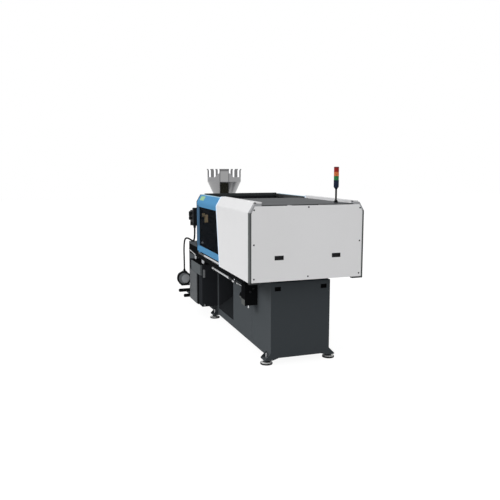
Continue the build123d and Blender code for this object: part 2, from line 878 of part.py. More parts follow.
ejector_cylinders = []
for y in (-ejector_side_y, ejector_side_y):
    body = rod("x", (box_back_x0 - ejector_cylinder_length, y, axis_z), ejector_cylinder_length,
               ejector_cylinder_radius)
    body -= rod("x", (box_back_x0 - ejector_bore, y, axis_z), ejector_bore,
                ejector_rod_radius + fit_gap)
    ejector_cylinders.append(body)
save("ejector_cylinders", *ejector_cylinders)

# Fixed platen with the locating bore
fixed = platen(fixed_x0, fixed_x1) + platen_feet(fixed_x0, fixed_x1, base_top)
for hole in mould_holes(fixed_x0, -1):
    fixed -= hole
fixed -= turned("x", (0, 0, axis_z), [
    (fixed_x0, 0), (fixed_x0, locating_radius), (fixed_x0 + locating_depth, locating_radius),
    (fixed_x0 + locating_depth, locating_radius + 5), (fixed_x1, back_bore_radius), (fixed_x1, 0),
])
save("fixed_platen", fixed)

# Slide bars of the injection unit with their rear bracket
slide_bars = []
for y in (-slide_bar_y, slide_bar_y):
    slide_bars.append(rod("x", (fixed_x1, y, slide_bar_z), slide_bar_x1 - fixed_x1, slide_bar_radius))
bracket = block(
    bar_bracket_x0, bar_bracket_x1, -slide_bar_y - 40, slide_bar_y + 40, base_top, slide_bar_z + 42
)
bracket -= block(
    bar_bracket_x0, bar_bracket_x1, -slide_bar_y + 45, slide_bar_y - 45, base_top + 30, slide_bar_z + 42
)
for y in (-slide_bar_y, slide_bar_y):
    bracket -= rod("x", (bar_bracket_x0, y, slide_bar_z), bar_bracket_x1 - bar_bracket_x0,
                   slide_bar_radius + fit_gap)
save("slide_bars", *slide_bars, bracket)

# Feed block, the carriage that holds the barrel
feed = block(feed_x0, feed_x1, -feed_half, feed_half, feed_bottom, axis_z + feed_shoulder)
feed += block(feed_x0, feed_x1, -feed_neck_half, feed_neck_half, axis_z + feed_shoulder, feed_top)
for y in (-slide_bar_y, slide_bar_y):
    feed -= rod("x", (feed_x0, y, slide_bar_z), feed_x1 - feed_x0, slide_bar_radius + fit_gap)
feed -= rod("x", (feed_x0, 0, axis_z), feed_x1 - feed_x0, barrel_radius + fit_gap)
feed -= rod("z", (hopper_x, 0, axis_z), feed_top - axis_z, throat_radius)
save("feed_block", feed)

barrel = turned("x", (0, 0, axis_z), [
    (barrel_x0, screw_bar_radius + fit_gap), (barrel_x0, barrel_radius), (feed_x1, barrel_radius),
    (feed_x1, screw_bar_radius + fit_gap),
])
barrel -= rod("z", (hopper_x, 0, axis_z), barrel_radius + 1, throat_radius)
save("barrel", barrel)

bands = []
for i in range(band_count):
    x = band_x0 + i * band_pitch
    band = turned("x", (0, 0, axis_z), [
        (x, barrel_radius + seat_gap), (x, band_radius), (x + band_width, band_radius),
        (x + band_width, barrel_radius + seat_gap),
    ])
    band += block(x + 22, x + 52, -14, 14, axis_z + band_radius - 2, axis_z + band_radius + 22)
    bands.append(band)
save("heater_bands", *bands)

nozzle = turned("x", (0, 0, axis_z), [
    (nozzle_x0, 2), (nozzle_x0, nozzle_tip_radius - 3), (nozzle_x0 + 4, nozzle_tip_radius),
    (nozzle_x0 + 18, nozzle_tip_radius + 3), (nozzle_x0 + 30, nozzle_radius),
    (nozzle_x0 + 58, nozzle_radius), (nozzle_x0 + 58, barrel_radius), (barrel_x0, barrel_radius),
    (barrel_x0, 2),
])
save("nozzle", nozzle)

# Barrel guard, a folded sheet over the heater bands
guard = prism_x(
    folded([
        (guard_half, guard_bottom), (guard_half, guard_top - guard_chamfer),
        (guard_half - guard_chamfer, guard_top), (guard_chamfer - guard_half, guard_top),
        (-guard_half, guard_top - guard_chamfer), (-guard_half, guard_bottom),
    ], sheet),
    guard_x0, feed_x0,
)
save("barrel_guard", guard)

# Purge guard over the nozzle, hinged on the back of the fixed platen
purge = prism_x(
    folded([
        (purge_half, purge_bottom), (purge_half, purge_top), (-purge_half, purge_top),
        (-purge_half, purge_bottom),
    ], sheet),
    purge_x0, purge_x1,
)
pin_x = fixed_x1 + 22
pin_z = purge_top + 20
purge += block(pin_x, purge_x0 + sheet, 10 - purge_half, purge_half - 10, purge_top - sheet, purge_top)
purge += block(pin_x - 4, pin_x + 4, 10 - purge_half, purge_half - 10, purge_top - sheet, pin_z)
purge += rod("y", (pin_x, 10 - purge_half, pin_z), 2 * purge_half - 20, purge_pin_radius + 4)
purge -= rod("y", (pin_x, -purge_half, pin_z), 2 * purge_half, purge_pin_radius + fit_gap)
save("purge_guard", purge)

hinge = rod("y", (pin_x, -purge_half - 8, pin_z), 2 * purge_half + 16, purge_pin_radius)
for y in (-purge_half - 8, purge_half - 2):
    hinge += block(fixed_x1, pin_x + 9, y, y + 10, pin_z - 9, pin_z + 9)
purge_hinge = hinge

# Injection cylinders behind the feed block, with the seat cylinder that draws the unit forward
cylinders = []
injection_z = axis_z - injection_drop
for y in (-injection_cylinder_y, injection_cylinder_y):
    body = rod("x", (feed_x1, y, injection_z), injection_cylinder_length, injection_cylinder_radius)
    body -= rod("x", (feed_x1 + cylinder_floor, y, injection_z), injection_cylinder_length - cylinder_floor,
                injection_rod_radius + fit_gap)
    cylinders.append(body)
seat_cylinder = rod("x", (seat_cylinder_x0, 0, seat_cylinder_z), feed_x0 - seat_cylinder_x0,
                    seat_cylinder_radius)
seat_cylinder -= rod("x", (seat_cylinder_x0, 0, seat_cylinder_z),
                     feed_x0 - seat_cylinder_x0 - cylinder_floor, seat_rod_radius + fit_gap)
cylinders.append(seat_cylinder)
save("injection_cylinders", *cylinders)

seat_rod_end = feed_x0 - cylinder_floor - carriage_travel - 50
save("seat_rod", rod("x", (fixed_x1, 0, seat_cylinder_z), seat_rod_end - fixed_x1, seat_rod_radius))

# Drive plate with the injection rods, the screw motor and the screw
drive = block(drive_x0, drive_x1, -drive_half, drive_half, drive_bottom, axis_z + drive_shoulder)
drive += block(drive_x0, drive_x1, -drive_neck_half, drive_neck_half, axis_z + drive_shoulder, drive_top)
for y in (-slide_bar_y, slide_bar_y):
    drive -= rod("x", (drive_x0, y, slide_bar_z), drive_x1 - drive_x0, slide_bar_radius + fit_gap)
drive -= rod("x", (drive_x0, 0, axis_z), drive_x1 - drive_x0, screw_bar_radius + fit_gap)

rods = []
rod_start = feed_x1 + 2 * cylinder_floor
for y in (-injection_cylinder_y, injection_cylinder_y):
    rods.append(rod("x", (rod_start, y, injection_z), drive_x0 - rod_start, injection_rod_radius))
save("drive_plate", drive, *rods)

screw_motor = turned("x", (0, 0, axis_z), [
    (drive_x1, coupling_bore), (drive_x1, motor_flange_radius),
    (drive_x1 + motor_flange_length, motor_flange_radius), (drive_x1 + motor_flange_length, motor_radius),
    (motor_body_x1, motor_radius), (motor_body_x1 + 30, motor_radius - 20),
    (overall_length, motor_radius - 28), (overall_length, 0),
    (drive_x1 + coupling_depth, 0), (drive_x1 + coupling_depth, coupling_bore),
])
save("screw_motor", screw_motor)

screw_tip = barrel_x0 + 6
screw = turned("x", (0, 0, axis_z), [
    (screw_tip, 0), (screw_tip + 34, 14), (screw_tip + 40, screw_bar_radius),
    (drive_x1 + coupling_depth - 10, screw_bar_radius), (drive_x1 + coupling_depth - 10, 0),
])
save("screw", screw)

# Shut-off block under the hopper, with its slide
gate_block = block(hopper_x - shutoff_half, hopper_x + shutoff_half, -shutoff_half, shutoff_half,
                   feed_top, hopper_flange_z)
gate_block -= rod("z", (hopper_x, 0, feed_top), hopper_flange_z - feed_top, throat_radius)
slide_z = hopper_flange_z - slide_drop
gate_block -= block(
    hopper_x - slide_width / 2 - seat_gap, hopper_x + slide_width / 2 + seat_gap,
    -shutoff_half, shutoff_half,
    slide_z - seat_gap, slide_z + slide_height + seat_gap,
)
save("shutoff_block", gate_block)

slide = block(
    hopper_x - slide_width / 2, hopper_x + slide_width / 2, -slide_front, slide_tail,
    slide_z, slide_z + slide_height,
)
slide -= rod("z", (hopper_x, 0, slide_z), slide_height, throat_radius)
slide += block(hopper_x - grip_half, hopper_x + grip_half, -slide_front - grip_length, -slide_front,
               slide_z - grip_height[0], slide_z + grip_height[1])
save("shutoff_slide", slide)

# Hopper of stainless sheet: a cone with flange and throat, and a straight wall with a rolled rim
hopper_cone_slope = (hopper_radius - hopper_throat_radius) / cone_height
inner_radius = hopper_radius - hopper_sheet
cone = turned("z", (hopper_x, 0, 0), [
    (hopper_flange_z, hopper_throat_radius - hopper_sheet), (hopper_flange_z, hopper_flange),
    (hopper_flange_z + 8, hopper_flange), (hopper_flange_z + 8, hopper_throat_radius),
    (cone_foot_z, hopper_throat_radius), (hopper_shoulder, hopper_radius),
    (hopper_shoulder, inner_radius), (cone_foot_z, hopper_throat_radius - hopper_sheet),
])
hopper = turned("z", (hopper_x, 0, 0), [
    (hopper_shoulder, inner_radius), (hopper_shoulder, hopper_radius),
    (hopper_rim - 4, hopper_radius), (hopper_rim - 4, hopper_radius + 3), (hopper_rim, hopper_radius + 3),
    (hopper_rim, inner_radius),
])
hopper_frame = Pos(hopper_x, 0, 0) * Rot(0, 0, hopper_turn) * Pos(-hopper_x, 0, 0)
cone_lean = math.degrees(math.atan(hopper_cone_slope))
hopper_inside = turned("z", (hopper_x, 0, 0), [
    (cone_foot_z, 0), (cone_foot_z, hopper_throat_radius - hopper_sheet), (hopper_shoulder, inner_radius),
    (hopper_rim, inner_radius), (hopper_rim, 0),
])

# Sight glass in a flat frame on the cone, under a flat panel on the straight wall
sight_z = (sight_z0 + sight_z1) / 2
sight_radius = hopper_radius - (hopper_shoulder - sight_z) * hopper_cone_slope
sight_length = (sight_z1 - sight_z0) / math.cos(math.radians(cone_lean))
cone_face = Pos(hopper_x - sight_radius, 0, sight_z) * Rot(0, -cone_lean, 0)
frame_width = sight_width + 2 * sight_frame
frame_plate = cone_face * Pos(4, 0, 0) * Box(24, frame_width, sight_length + 2 * sight_frame)
panel_plate = block(
    hopper_x - hopper_radius - 4, hopper_x - hopper_radius + 22, -sight_width / 2, sight_width / 2,
    panel_z0, panel_z1,
)
over_shoulder = rod("z", (hopper_x, 0, hopper_shoulder), hopper_rim - hopper_shoulder, hopper_radius + 60)
cone += hopper_frame * frame_plate - hopper_inside - over_shoulder
cone -= hopper_frame * cone_face * Pos(-8, 0, 0) * Box(sight_thickness * 2, sight_width, sight_length)
cone -= hopper_frame * cone_face * Box(60, sight_width - 24, sight_length - 24)
save("hopper_cone", cone)
hopper += hopper_frame * panel_plate - hopper_inside
sight = cone_face * Pos(-2 - sight_thickness / 2, 0, 0) * Box(
    sight_thickness, sight_width - 2 * seat_gap, sight_length - 2 * seat_gap
)
save("sight_glass", hopper_frame * sight)

# Hopper lid with its hinge pin at the far side
lid_outer = hopper_radius + 8
lid_z = hopper_rim + lid_gap
lid = turned("z", (hopper_x, 0, 0), [
    (lid_z, 0), (lid_z, lid_outer - 2), (lid_z - lid_lip, lid_outer - 2),
    (lid_z - lid_lip, lid_outer), (lid_z + 2, lid_outer), (lid_z + 2, 0),
])
lid_pin_x = hopper_x + lid_outer + 12
lid_pin_z = hopper_rim - 8
ear = block(hopper_x + lid_outer - 1, lid_pin_x, -18, 18, lid_z - 2, lid_z + 2)
ear += rod("y", (lid_pin_x, -18, lid_pin_z), 36, 7)
ear += block(lid_pin_x - 3, lid_pin_x + 3, -18, 18, lid_pin_z, lid_z + 2)
lid += ear
lid -= rod("y", (lid_pin_x, -30, lid_pin_z), 60, lid_pin_radius + fit_gap)
save("hopper_lid", lid)

for y in (-28, 19):
    arm = block(hopper_x + inner_radius, lid_pin_x + 6, y, y + 9, lid_pin_z - 34, lid_pin_z - 14)
    hopper += arm - hopper_inside
    hopper += block(hopper_x + lid_outer + 4, lid_pin_x + 6, y, y + 9, lid_pin_z - 14, lid_pin_z + 6)
hopper += rod("y", (lid_pin_x, -28, lid_pin_z), 56, lid_pin_radius)
save("hopper", hopper)

# Signal tower on the top plate
stand = turned("z", (tower_x, tower_y, 0), [
    (top_plate_z, 0), (top_plate_z, tower_foot_radius), (top_plate_z + 8, tower_foot_radius),
    (top_plate_z + tower_foot_height, tower_pole_radius + 3),
    (top_plate_z + tower_foot_height, tower_pole_radius),
    (tower_base_z0 - 22, tower_pole_radius), (tower_base_z0, tower_radius),
    (tower_base_z1, tower_radius), (tower_base_z1, 0),
])
lenses = []
for i in range(lens_count):
    z0 = tower_base_z1 + i * lens_height
    lenses.append(rod("z", (tower_x, tower_y, z0), lens_height, lens_radius))
cap_z = tower_base_z1 + lens_count * lens_height
cap = turned("z", (tower_x, tower_y, 0), [
    (cap_z, 0), (cap_z, tower_radius), (cap_z + tower_cap_height - 4, tower_radius - 1),
    (cap_z + tower_cap_height, tower_radius - 6), (cap_z + tower_cap_height, 0),
])
save("signal_tower", stand, *lenses, cap)

# Oil tank, a closed box with a service bay in its outer side, and the fixed panel above the bay
tank = block(tank_x0, tank_x1, base_half, tank_outer, tank_bottom, tank_top)
bay_y = tank_outer - bay_depth
hinge_x = tank_x0 + hinge_inset
door_y0 = tank_outer + door_gap
door_y1 = door_y0 + door_thickness
service_bay = block(
    hinge_x + bay_inset, tank_x1 - bay_margin, bay_y, tank_outer,
    tank_bottom + bay_margin, door_top - bay_inset,
)
tank -= block(
    tank_x0 + tank_wall, tank_x1 - tank_wall, base_half + tank_wall, bay_y - tank_wall,
    tank_bottom + tank_wall, tank_top - tank_wall,
)
tank -= service_bay
panel_bottom_z = door_top + door_gap
side_panel = block(tank_x0, tank_x1 + 6, tank_outer, door_y1, panel_bottom_z, tank_top)
side_panel -= block(
    tank_x0 + sheet, tank_x1 + 6 - sheet, tank_outer, door_y1 - sheet,
    panel_bottom_z + sheet, tank_top - sheet,
)
save("oil_tank", tank, side_panel)

# Fittings of the tank: filler cap, return pipe cap, level gauge and drain plug
cap_y = tank_outer - cap_inset
fittings = []
for x, height, radius in zip(cap_x, cap_height, cap_radius):
    fittings.append(turned("z", (x, cap_y, tank_top), [
        (0, 0), (0, radius - 7), (16, radius - 7), (16, radius), (height - 4, radius),
        (height, radius - 4), (height, 0),
    ]))
gauge_y = tank_outer - gauge_inset
fittings.append(block(
    tank_x0 - 12, tank_x0, gauge_y - gauge_width / 2, gauge_y + gauge_width / 2,
    tank_top - gauge_drop[0], tank_top - gauge_drop[1],
))
fittings.append(rod("x", (tank_x0 - 14, gauge_y - 4, tank_bottom + 22), 14, 11))

# Return pipe from the second cap down to a boss on the base
boss_x, boss_z = return_pipe_end
pipe_start = (cap_x[1], cap_y, tank_top + cap_height[1] - 18)
return_pipe = strut(pipe_start, (boss_x, base_half + return_pipe_radius, boss_z), return_pipe_radius)
fittings[1] += return_pipe + rod("y", (boss_x, base_half, boss_z), 14, return_pipe_radius * 2)
save("tank_fittings", *fittings)

# Service door with its hinge strip and latch
door = block(hinge_x + 10, tank_x1 + 6, door_y0, door_y1, door_bottom, door_top)
door -= block(
    hinge_x + 10 + sheet, tank_x1 + 6 - sheet, door_y0, door_y1 - sheet,
    door_bottom + sheet, door_top - sheet,
)
door_pin_y = door_y0 + hinge_radius
latch_x = tank_x1 - 36
latch_z = (door_bottom + door_top) / 2
door -= rod("y", (latch_x, door_y0, latch_z), door_thickness, 9 + fit_gap)
leaf = block(hinge_x + hinge_radius - 1, hinge_x + 10, door_y0, door_y0 + 4, hinge_z0, hinge_z1)
leaf += rod("z", (hinge_x, door_pin_y, hinge_z0), hinge_z1 - hinge_z0, hinge_radius)
door += leaf
door -= rod("z", (hinge_x, door_pin_y, hinge_z0), hinge_z1 - hinge_z0, 3 + fit_gap)
save("service_door", door)

pin = rod("z", (hinge_x, door_pin_y, hinge_z0 - 10), hinge_z1 - hinge_z0 + 20, 3)
for z in (hinge_z0 - 10, hinge_z1 + 2):
    pin += block(hinge_x - 6, hinge_x + 6, tank_outer, door_pin_y + 6, z, z + 8)
save("hinge_pins", pin, purge_hinge)

latch = rod("y", (latch_x, tank_outer + rest_gap, latch_z), door_y1 + 2 - tank_outer - rest_gap, 9)
latch += block(latch_x - 9, latch_x + 9, door_y1 + 2, door_y1 + 10, latch_z - 38, latch_z + 12)
save("door_latch", latch)

# Pump motor with fan cowl, end flange, terminal box and cable gland
motor = turned("x", (0, motor_y, motor_z), [
    (motor_x0 + 10, 0), (motor_x0 + 10, pump_motor_radius - 16), (motor_x0, pump_motor_radius - 12),
    (motor_x0, pump_motor_radius - 4), (motor_x0 + 4, pump_motor_radius),
    (body_x0, pump_motor_radius), (body_x0, body_radius), (pump_x0, body_radius),
    (pump_x0, pump_radius), (pump_x1, pump_radius), (pump_x1, 0),
])
motor += rod("x", (motor_x0 + 2, motor_y - 24, motor_z - 6), 10, body_radius - 24)
terminal_x = cable_route[-1][0]
motor += block(
    terminal_x - terminal_reach, terminal_x + terminal_reach, motor_y - 48, motor_y + 14,
    motor_z + 50, terminal_top,
)
motor += rod("z", (terminal_x, terminal_y, terminal_top), gland_length, gland_radius)
save("pump_motor", motor)

# Two oil filters standing out of the base
filters = []
for y1, z in filter_ends:
    filters.append(turned("y", (filter_x, 0, z), [
        (base_half, 0), (base_half, filter_head_radius),
        (base_half + filter_head_length, filter_head_radius),
        (base_half + filter_head_length, filter_radius), (y1 - 10, filter_radius),
        (y1, filter_radius - 8), (y1, 0),
    ]))
save("oil_filters", *filters)

# Lubrication unit with its motor
lube = block(lube_x0, lube_x1, base_half, lube_outer, lube_z0, lube_z1)
lube_motor_x1 = lube_x1 + lube_motor_length
lube_motor = turned("x", (0, lube_motor_y, lube_motor_z), [
    (lube_x1, 0), (lube_x1, lube_motor_radius - 10), (lube_x1 + 12, lube_motor_radius - 10),
    (lube_x1 + 12, lube_motor_radius), (lube_motor_x1 - 12, lube_motor_radius),
    (lube_motor_x1, lube_motor_radius - 12), (lube_motor_x1, 0),
])
save("lubrication_unit", lube, lube_motor)

# Hose and pipe along the base to the oil tank, with a small ball valve, and the unit's drain plug
pipe = rod("x", (lube_x1, pipe_y, pipe_z), pipe_joint_x - lube_x1, hose_radius)
pipe += rod("x", (pipe_joint_x, pipe_y, pipe_z), tank_x0 - pipe_joint_x, pipe_radius)
for x, length, radius in ((lube_x1, 36, 15), (along(1010), 40, 13), (valve_x - 38, 76, 21),
                          (pipe_joint_x - 20, 40, 17), (tank_x0 - 26, 26, 16)):
    pipe += rod("x", (x, pipe_y, pipe_z), length, radius)
pipe += rod("z", (valve_x, pipe_y, pipe_z), valve_neck, 8)
plug = rod("z", (lube_x0 + 16, lube_outer - 48, lube_z0 - plug_drop), plug_drop, 10)
save("lube_pipe", pipe, plug)

lever_z = pipe_z + valve_neck + seat_gap
lever = block(valve_x - 12, valve_x + 12, pipe_y - 12, pipe_y + 12, lever_z, lever_z + 6)
lever += block(valve_x, valve_x + lever_length, pipe_y - 9, pipe_y + 9, lever_z, lever_z + 6)
lever += rod("z", (valve_x, pipe_y, lever_z + 6), 8, 8)
save("valve_lever", lever)

# Core pull manifold, a valve block with round couplings on a bracket behind the bulkhead
bracket_x = bulkhead_x0 + bulkhead_depth
manifold_x0 = bracket_x + bracket_plate
manifold_x1 = manifold_x0 + manifold_length
manifold = block(manifold_x0, manifold_x1, manifold_y0, manifold_y1, manifold_z0, manifold_z1)
manifold += block(bracket_x, manifold_x0, bracket_inner, manifold_y1, manifold_z0 + 30, manifold_z1)
manifold += block(manifold_x0 + 12, manifold_x0 + 78, manifold_y0 + 6, manifold_y1 - 8,
                  manifold_z1, manifold_z1 + 34)
couplings = [
    (along(2200), manifold_z1 - 33, 23, 0), (along(2200), manifold_z1 - 99, 23, 0),
    (along(2200), manifold_z0 + 22, 25, 18), (along(2256), manifold_z1 - 60, 20, 12),
]
for x, z, radius, inset in couplings:
    reach = overall_reach - manifold_y1 - inset
    manifold += rod("y", (x, manifold_y1, z), reach, radius - 7)
    manifold += rod("y", (x, manifold_y1 + reach / 3, z), reach * 2 / 3, radius)
gland_x, gland_y, gland_z = cable_route[0]
manifold += rod("z", (gland_x, gland_y, gland_z), manifold_z0 - gland_z, gland_radius)
save("core_pull_manifold", manifold)

# Power cable between the manifold's gland and the motor's terminal box
corner_radii = []
for a, b, c in zip(cable_route, cable_route[1:], cable_route[2:]):
    run_in = Vector(*b) - Vector(*a)
    run_out = Vector(*c) - Vector(*b)
    half_turn = math.radians(run_in.get_angle(run_out) / 2)
    corner_radii.append(0.45 * min(run_in.length, run_out.length) / math.tan(half_turn))
cable_path = FilletPolyline(*[Vector(*p) for p in cable_route], radius=corner_radii)
cable_start = Plane(cable_route[0], z_dir=Vector(*cable_route[1]) - Vector(*cable_route[0]))
cable = sweep(cable_start * Circle(cable_radius), cable_path)
save("power_cable", cable)

# Operator panel on its arm, turning on an upright pin
arm_inner = -bracket_inner
arm_outer = min(panel_pin_y - 14, -wall_half)
arm_z0 = 1325.0
arm_z1 = 1375.0
arm = block(bracket_x, bracket_x + bracket_plate, arm_outer, arm_inner, arm_z0 - 60, arm_z1 + 60)
arm += block(bracket_x + bracket_plate, panel_pin_x, panel_pin_y - 14, panel_pin_y + 14, arm_z0, arm_z1)
arm += rod("z", (panel_pin_x, panel_pin_y, arm_z0), arm_z1 - arm_z0, 20)
arm += rod("z", (panel_pin_x, panel_pin_y, arm_z0 - 42), arm_z1 - arm_z0 + 84, panel_pin_radius)
save("panel_arm", arm)

panel_y0 = stop_stand - overall_reach
panel_y1 = panel_y0 + panel_depth
panel = block(panel_x0, panel_x1, panel_y0, panel_y1, panel_bottom, panel_top)
panel = fillet(panel.edges().filter_by(Axis.Y), 14)
panel -= block(panel_x0 + 45, panel_x1 - 45, panel_y0, panel_y0 + 4, panel_bottom + 110, panel_top - 35)
for z in (arm_z0 - 42, arm_z1 + 2):
    lug = block(panel_pin_x, panel_x0 + 30, panel_pin_y - 22, panel_pin_y + 22, z, z + 40)
    lug += rod("z", (panel_pin_x, panel_pin_y, z), 40, 22)
    lug -= rod("z", (panel_pin_x, panel_pin_y, z), 40, panel_pin_radius + fit_gap)
    panel += lug
stop_x = panel_x1 - 48
stop_z = panel_bottom + 54
panel -= rod("y", (stop_x, panel_y0, stop_z), stem_depth + 2 * stop_travel, stop_stem + fit_gap)
save("operator_panel", panel)

stop = turned("y", (stop_x, 0, stop_z), [
    (-overall_reach, 0), (-overall_reach, stop_radius - 4), (4 - overall_reach, stop_radius),
    (14 - overall_reach, stop_radius), (14 - overall_reach, stop_stem),
    (panel_y0 + stem_depth, stop_stem), (panel_y0 + stem_depth, 0),
])
save("emergency_stop", stop)
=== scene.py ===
import math

import bmesh
import bpy
from mathutils import Matrix, Vector


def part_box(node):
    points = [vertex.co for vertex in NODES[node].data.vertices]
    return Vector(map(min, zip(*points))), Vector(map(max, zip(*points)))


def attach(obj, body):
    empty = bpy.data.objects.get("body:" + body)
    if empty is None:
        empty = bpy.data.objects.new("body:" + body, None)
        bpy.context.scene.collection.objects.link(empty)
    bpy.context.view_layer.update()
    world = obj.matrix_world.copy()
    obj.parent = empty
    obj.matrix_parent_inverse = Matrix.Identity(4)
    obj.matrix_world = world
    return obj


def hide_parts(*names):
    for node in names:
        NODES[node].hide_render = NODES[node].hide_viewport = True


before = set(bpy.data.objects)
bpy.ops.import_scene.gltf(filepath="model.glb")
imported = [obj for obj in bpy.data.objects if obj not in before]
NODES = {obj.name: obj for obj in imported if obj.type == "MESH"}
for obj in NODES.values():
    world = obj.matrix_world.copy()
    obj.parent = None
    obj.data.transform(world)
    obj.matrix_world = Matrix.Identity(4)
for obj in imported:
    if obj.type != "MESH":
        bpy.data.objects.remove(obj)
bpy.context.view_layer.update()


# Places

MIDDLE = 1.98    # half the machine's length, where the origin is


def at(station):
    """The place along X of a station, which is a distance from the outer face of the clamp end."""
    return station - MIDDLE


def span(start, end):
    """The places along X of two stations."""
    return at(start), at(end)


def low(node):
    """The lowest corner of a CAD node."""
    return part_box(node)[0]


def high(node):
    """The highest corner of a CAD node."""
    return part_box(node)[1]


COVER_FOOT = low("rear_cover")[2]     # lowest edge of the side covers
COVER_FOLD = 1.542                    # fold between a cover's side and its slope
END_PLATE_FOOT = low("end_cover")[2]  # lowest edge of the clamp end's plate
BASE_SIDE = low("oil_tank")[1]        # rear face of the base, on which the tank sits
HOPPER_X = 0.88                       # axis of the hopper
HOPPER_TURN = math.radians(16)        # how far its sight glass is turned to the rear side


# Shader graphs and finishes


def linear(rgb):
    """A colour of 0 to 255 per channel as linear values."""
    return [(c / 255 / 12.92) if c < 11 else ((c / 255 + 0.055) / 1.055) ** 2.4 for c in rgb] + [1.0]


class Graph:
    """A shader graph, with short ways to add to it."""

    def __init__(self, tree):
        self.tree = tree

    def new(self, kind, **settings):
        node = self.tree.nodes.new(kind)
        for key, value in settings.items():
            setattr(node, key, value)
        return node

    def link(self, out, into):
        self.tree.links.new(out, into)

    def put(self, value, into):
        """Links a socket, or sets a plain value."""
        if isinstance(value, (int, float, list, tuple)):
            into.default_value = value
        else:
            self.link(value, into)

    def math(self, operation, a, b=0.0, c=0.0):
        node = self.new("ShaderNodeMath", operation=operation)
        for value, into in zip((a, b, c), node.inputs):
            self.put(value, into)
        return node.outputs[0]

    def both(self, *masks):
        """1 where all masks are 1."""
        product = masks[0]
        for mask in masks[1:]:
            product = self.math("MULTIPLY", product, mask)
        return product

    def outside(self, mask):
        """1 where a mask is 0."""
        return self.math("SUBTRACT", 1.0, mask)

    def ramp(self, value, start, end, low_value=0.0, high_value=1.0, **settings):
        """A value between start and end taken to one between two others."""
        node = self.new("ShaderNodeMapRange", **settings)
        for socket, amount in (("Value", value), ("From Min", start), ("From Max", end),
                               ("To Min", low_value), ("To Max", high_value)):
            self.put(amount, node.inputs[socket])
        return node.outputs[0]

    def split(self, vector):
        """The three parts of a vector."""
        node = self.new("ShaderNodeSeparateXYZ")
        self.link(vector, node.inputs[0])
        return node.outputs

    def rays(self, *kinds):
        """1 for rays of any of these kinds."""
        path = self.new("ShaderNodeLightPath")
        mask = path.outputs[kinds[0]]
        for kind in kinds[1:]:
            mask = self.math("MAXIMUM", mask, path.outputs[kind])
        return mask

    def shader(self, kind, **inputs):
        """A shader with values or links for its inputs."""
        node = self.new(kind)
        for socket, value in inputs.items():
            self.put(value, node.inputs[socket])
        return node.outputs[0]

    def choose(self, mask, plain, other, output):
        """Gives an output one shader where a mask is 0 and another where it is 1."""
        node = self.new("ShaderNodeMixShader")
        for value, into in zip((mask, plain, other), node.inputs):
            self.link(value, into)
        self.link(node.outputs[0], self.new(output).inputs[0])


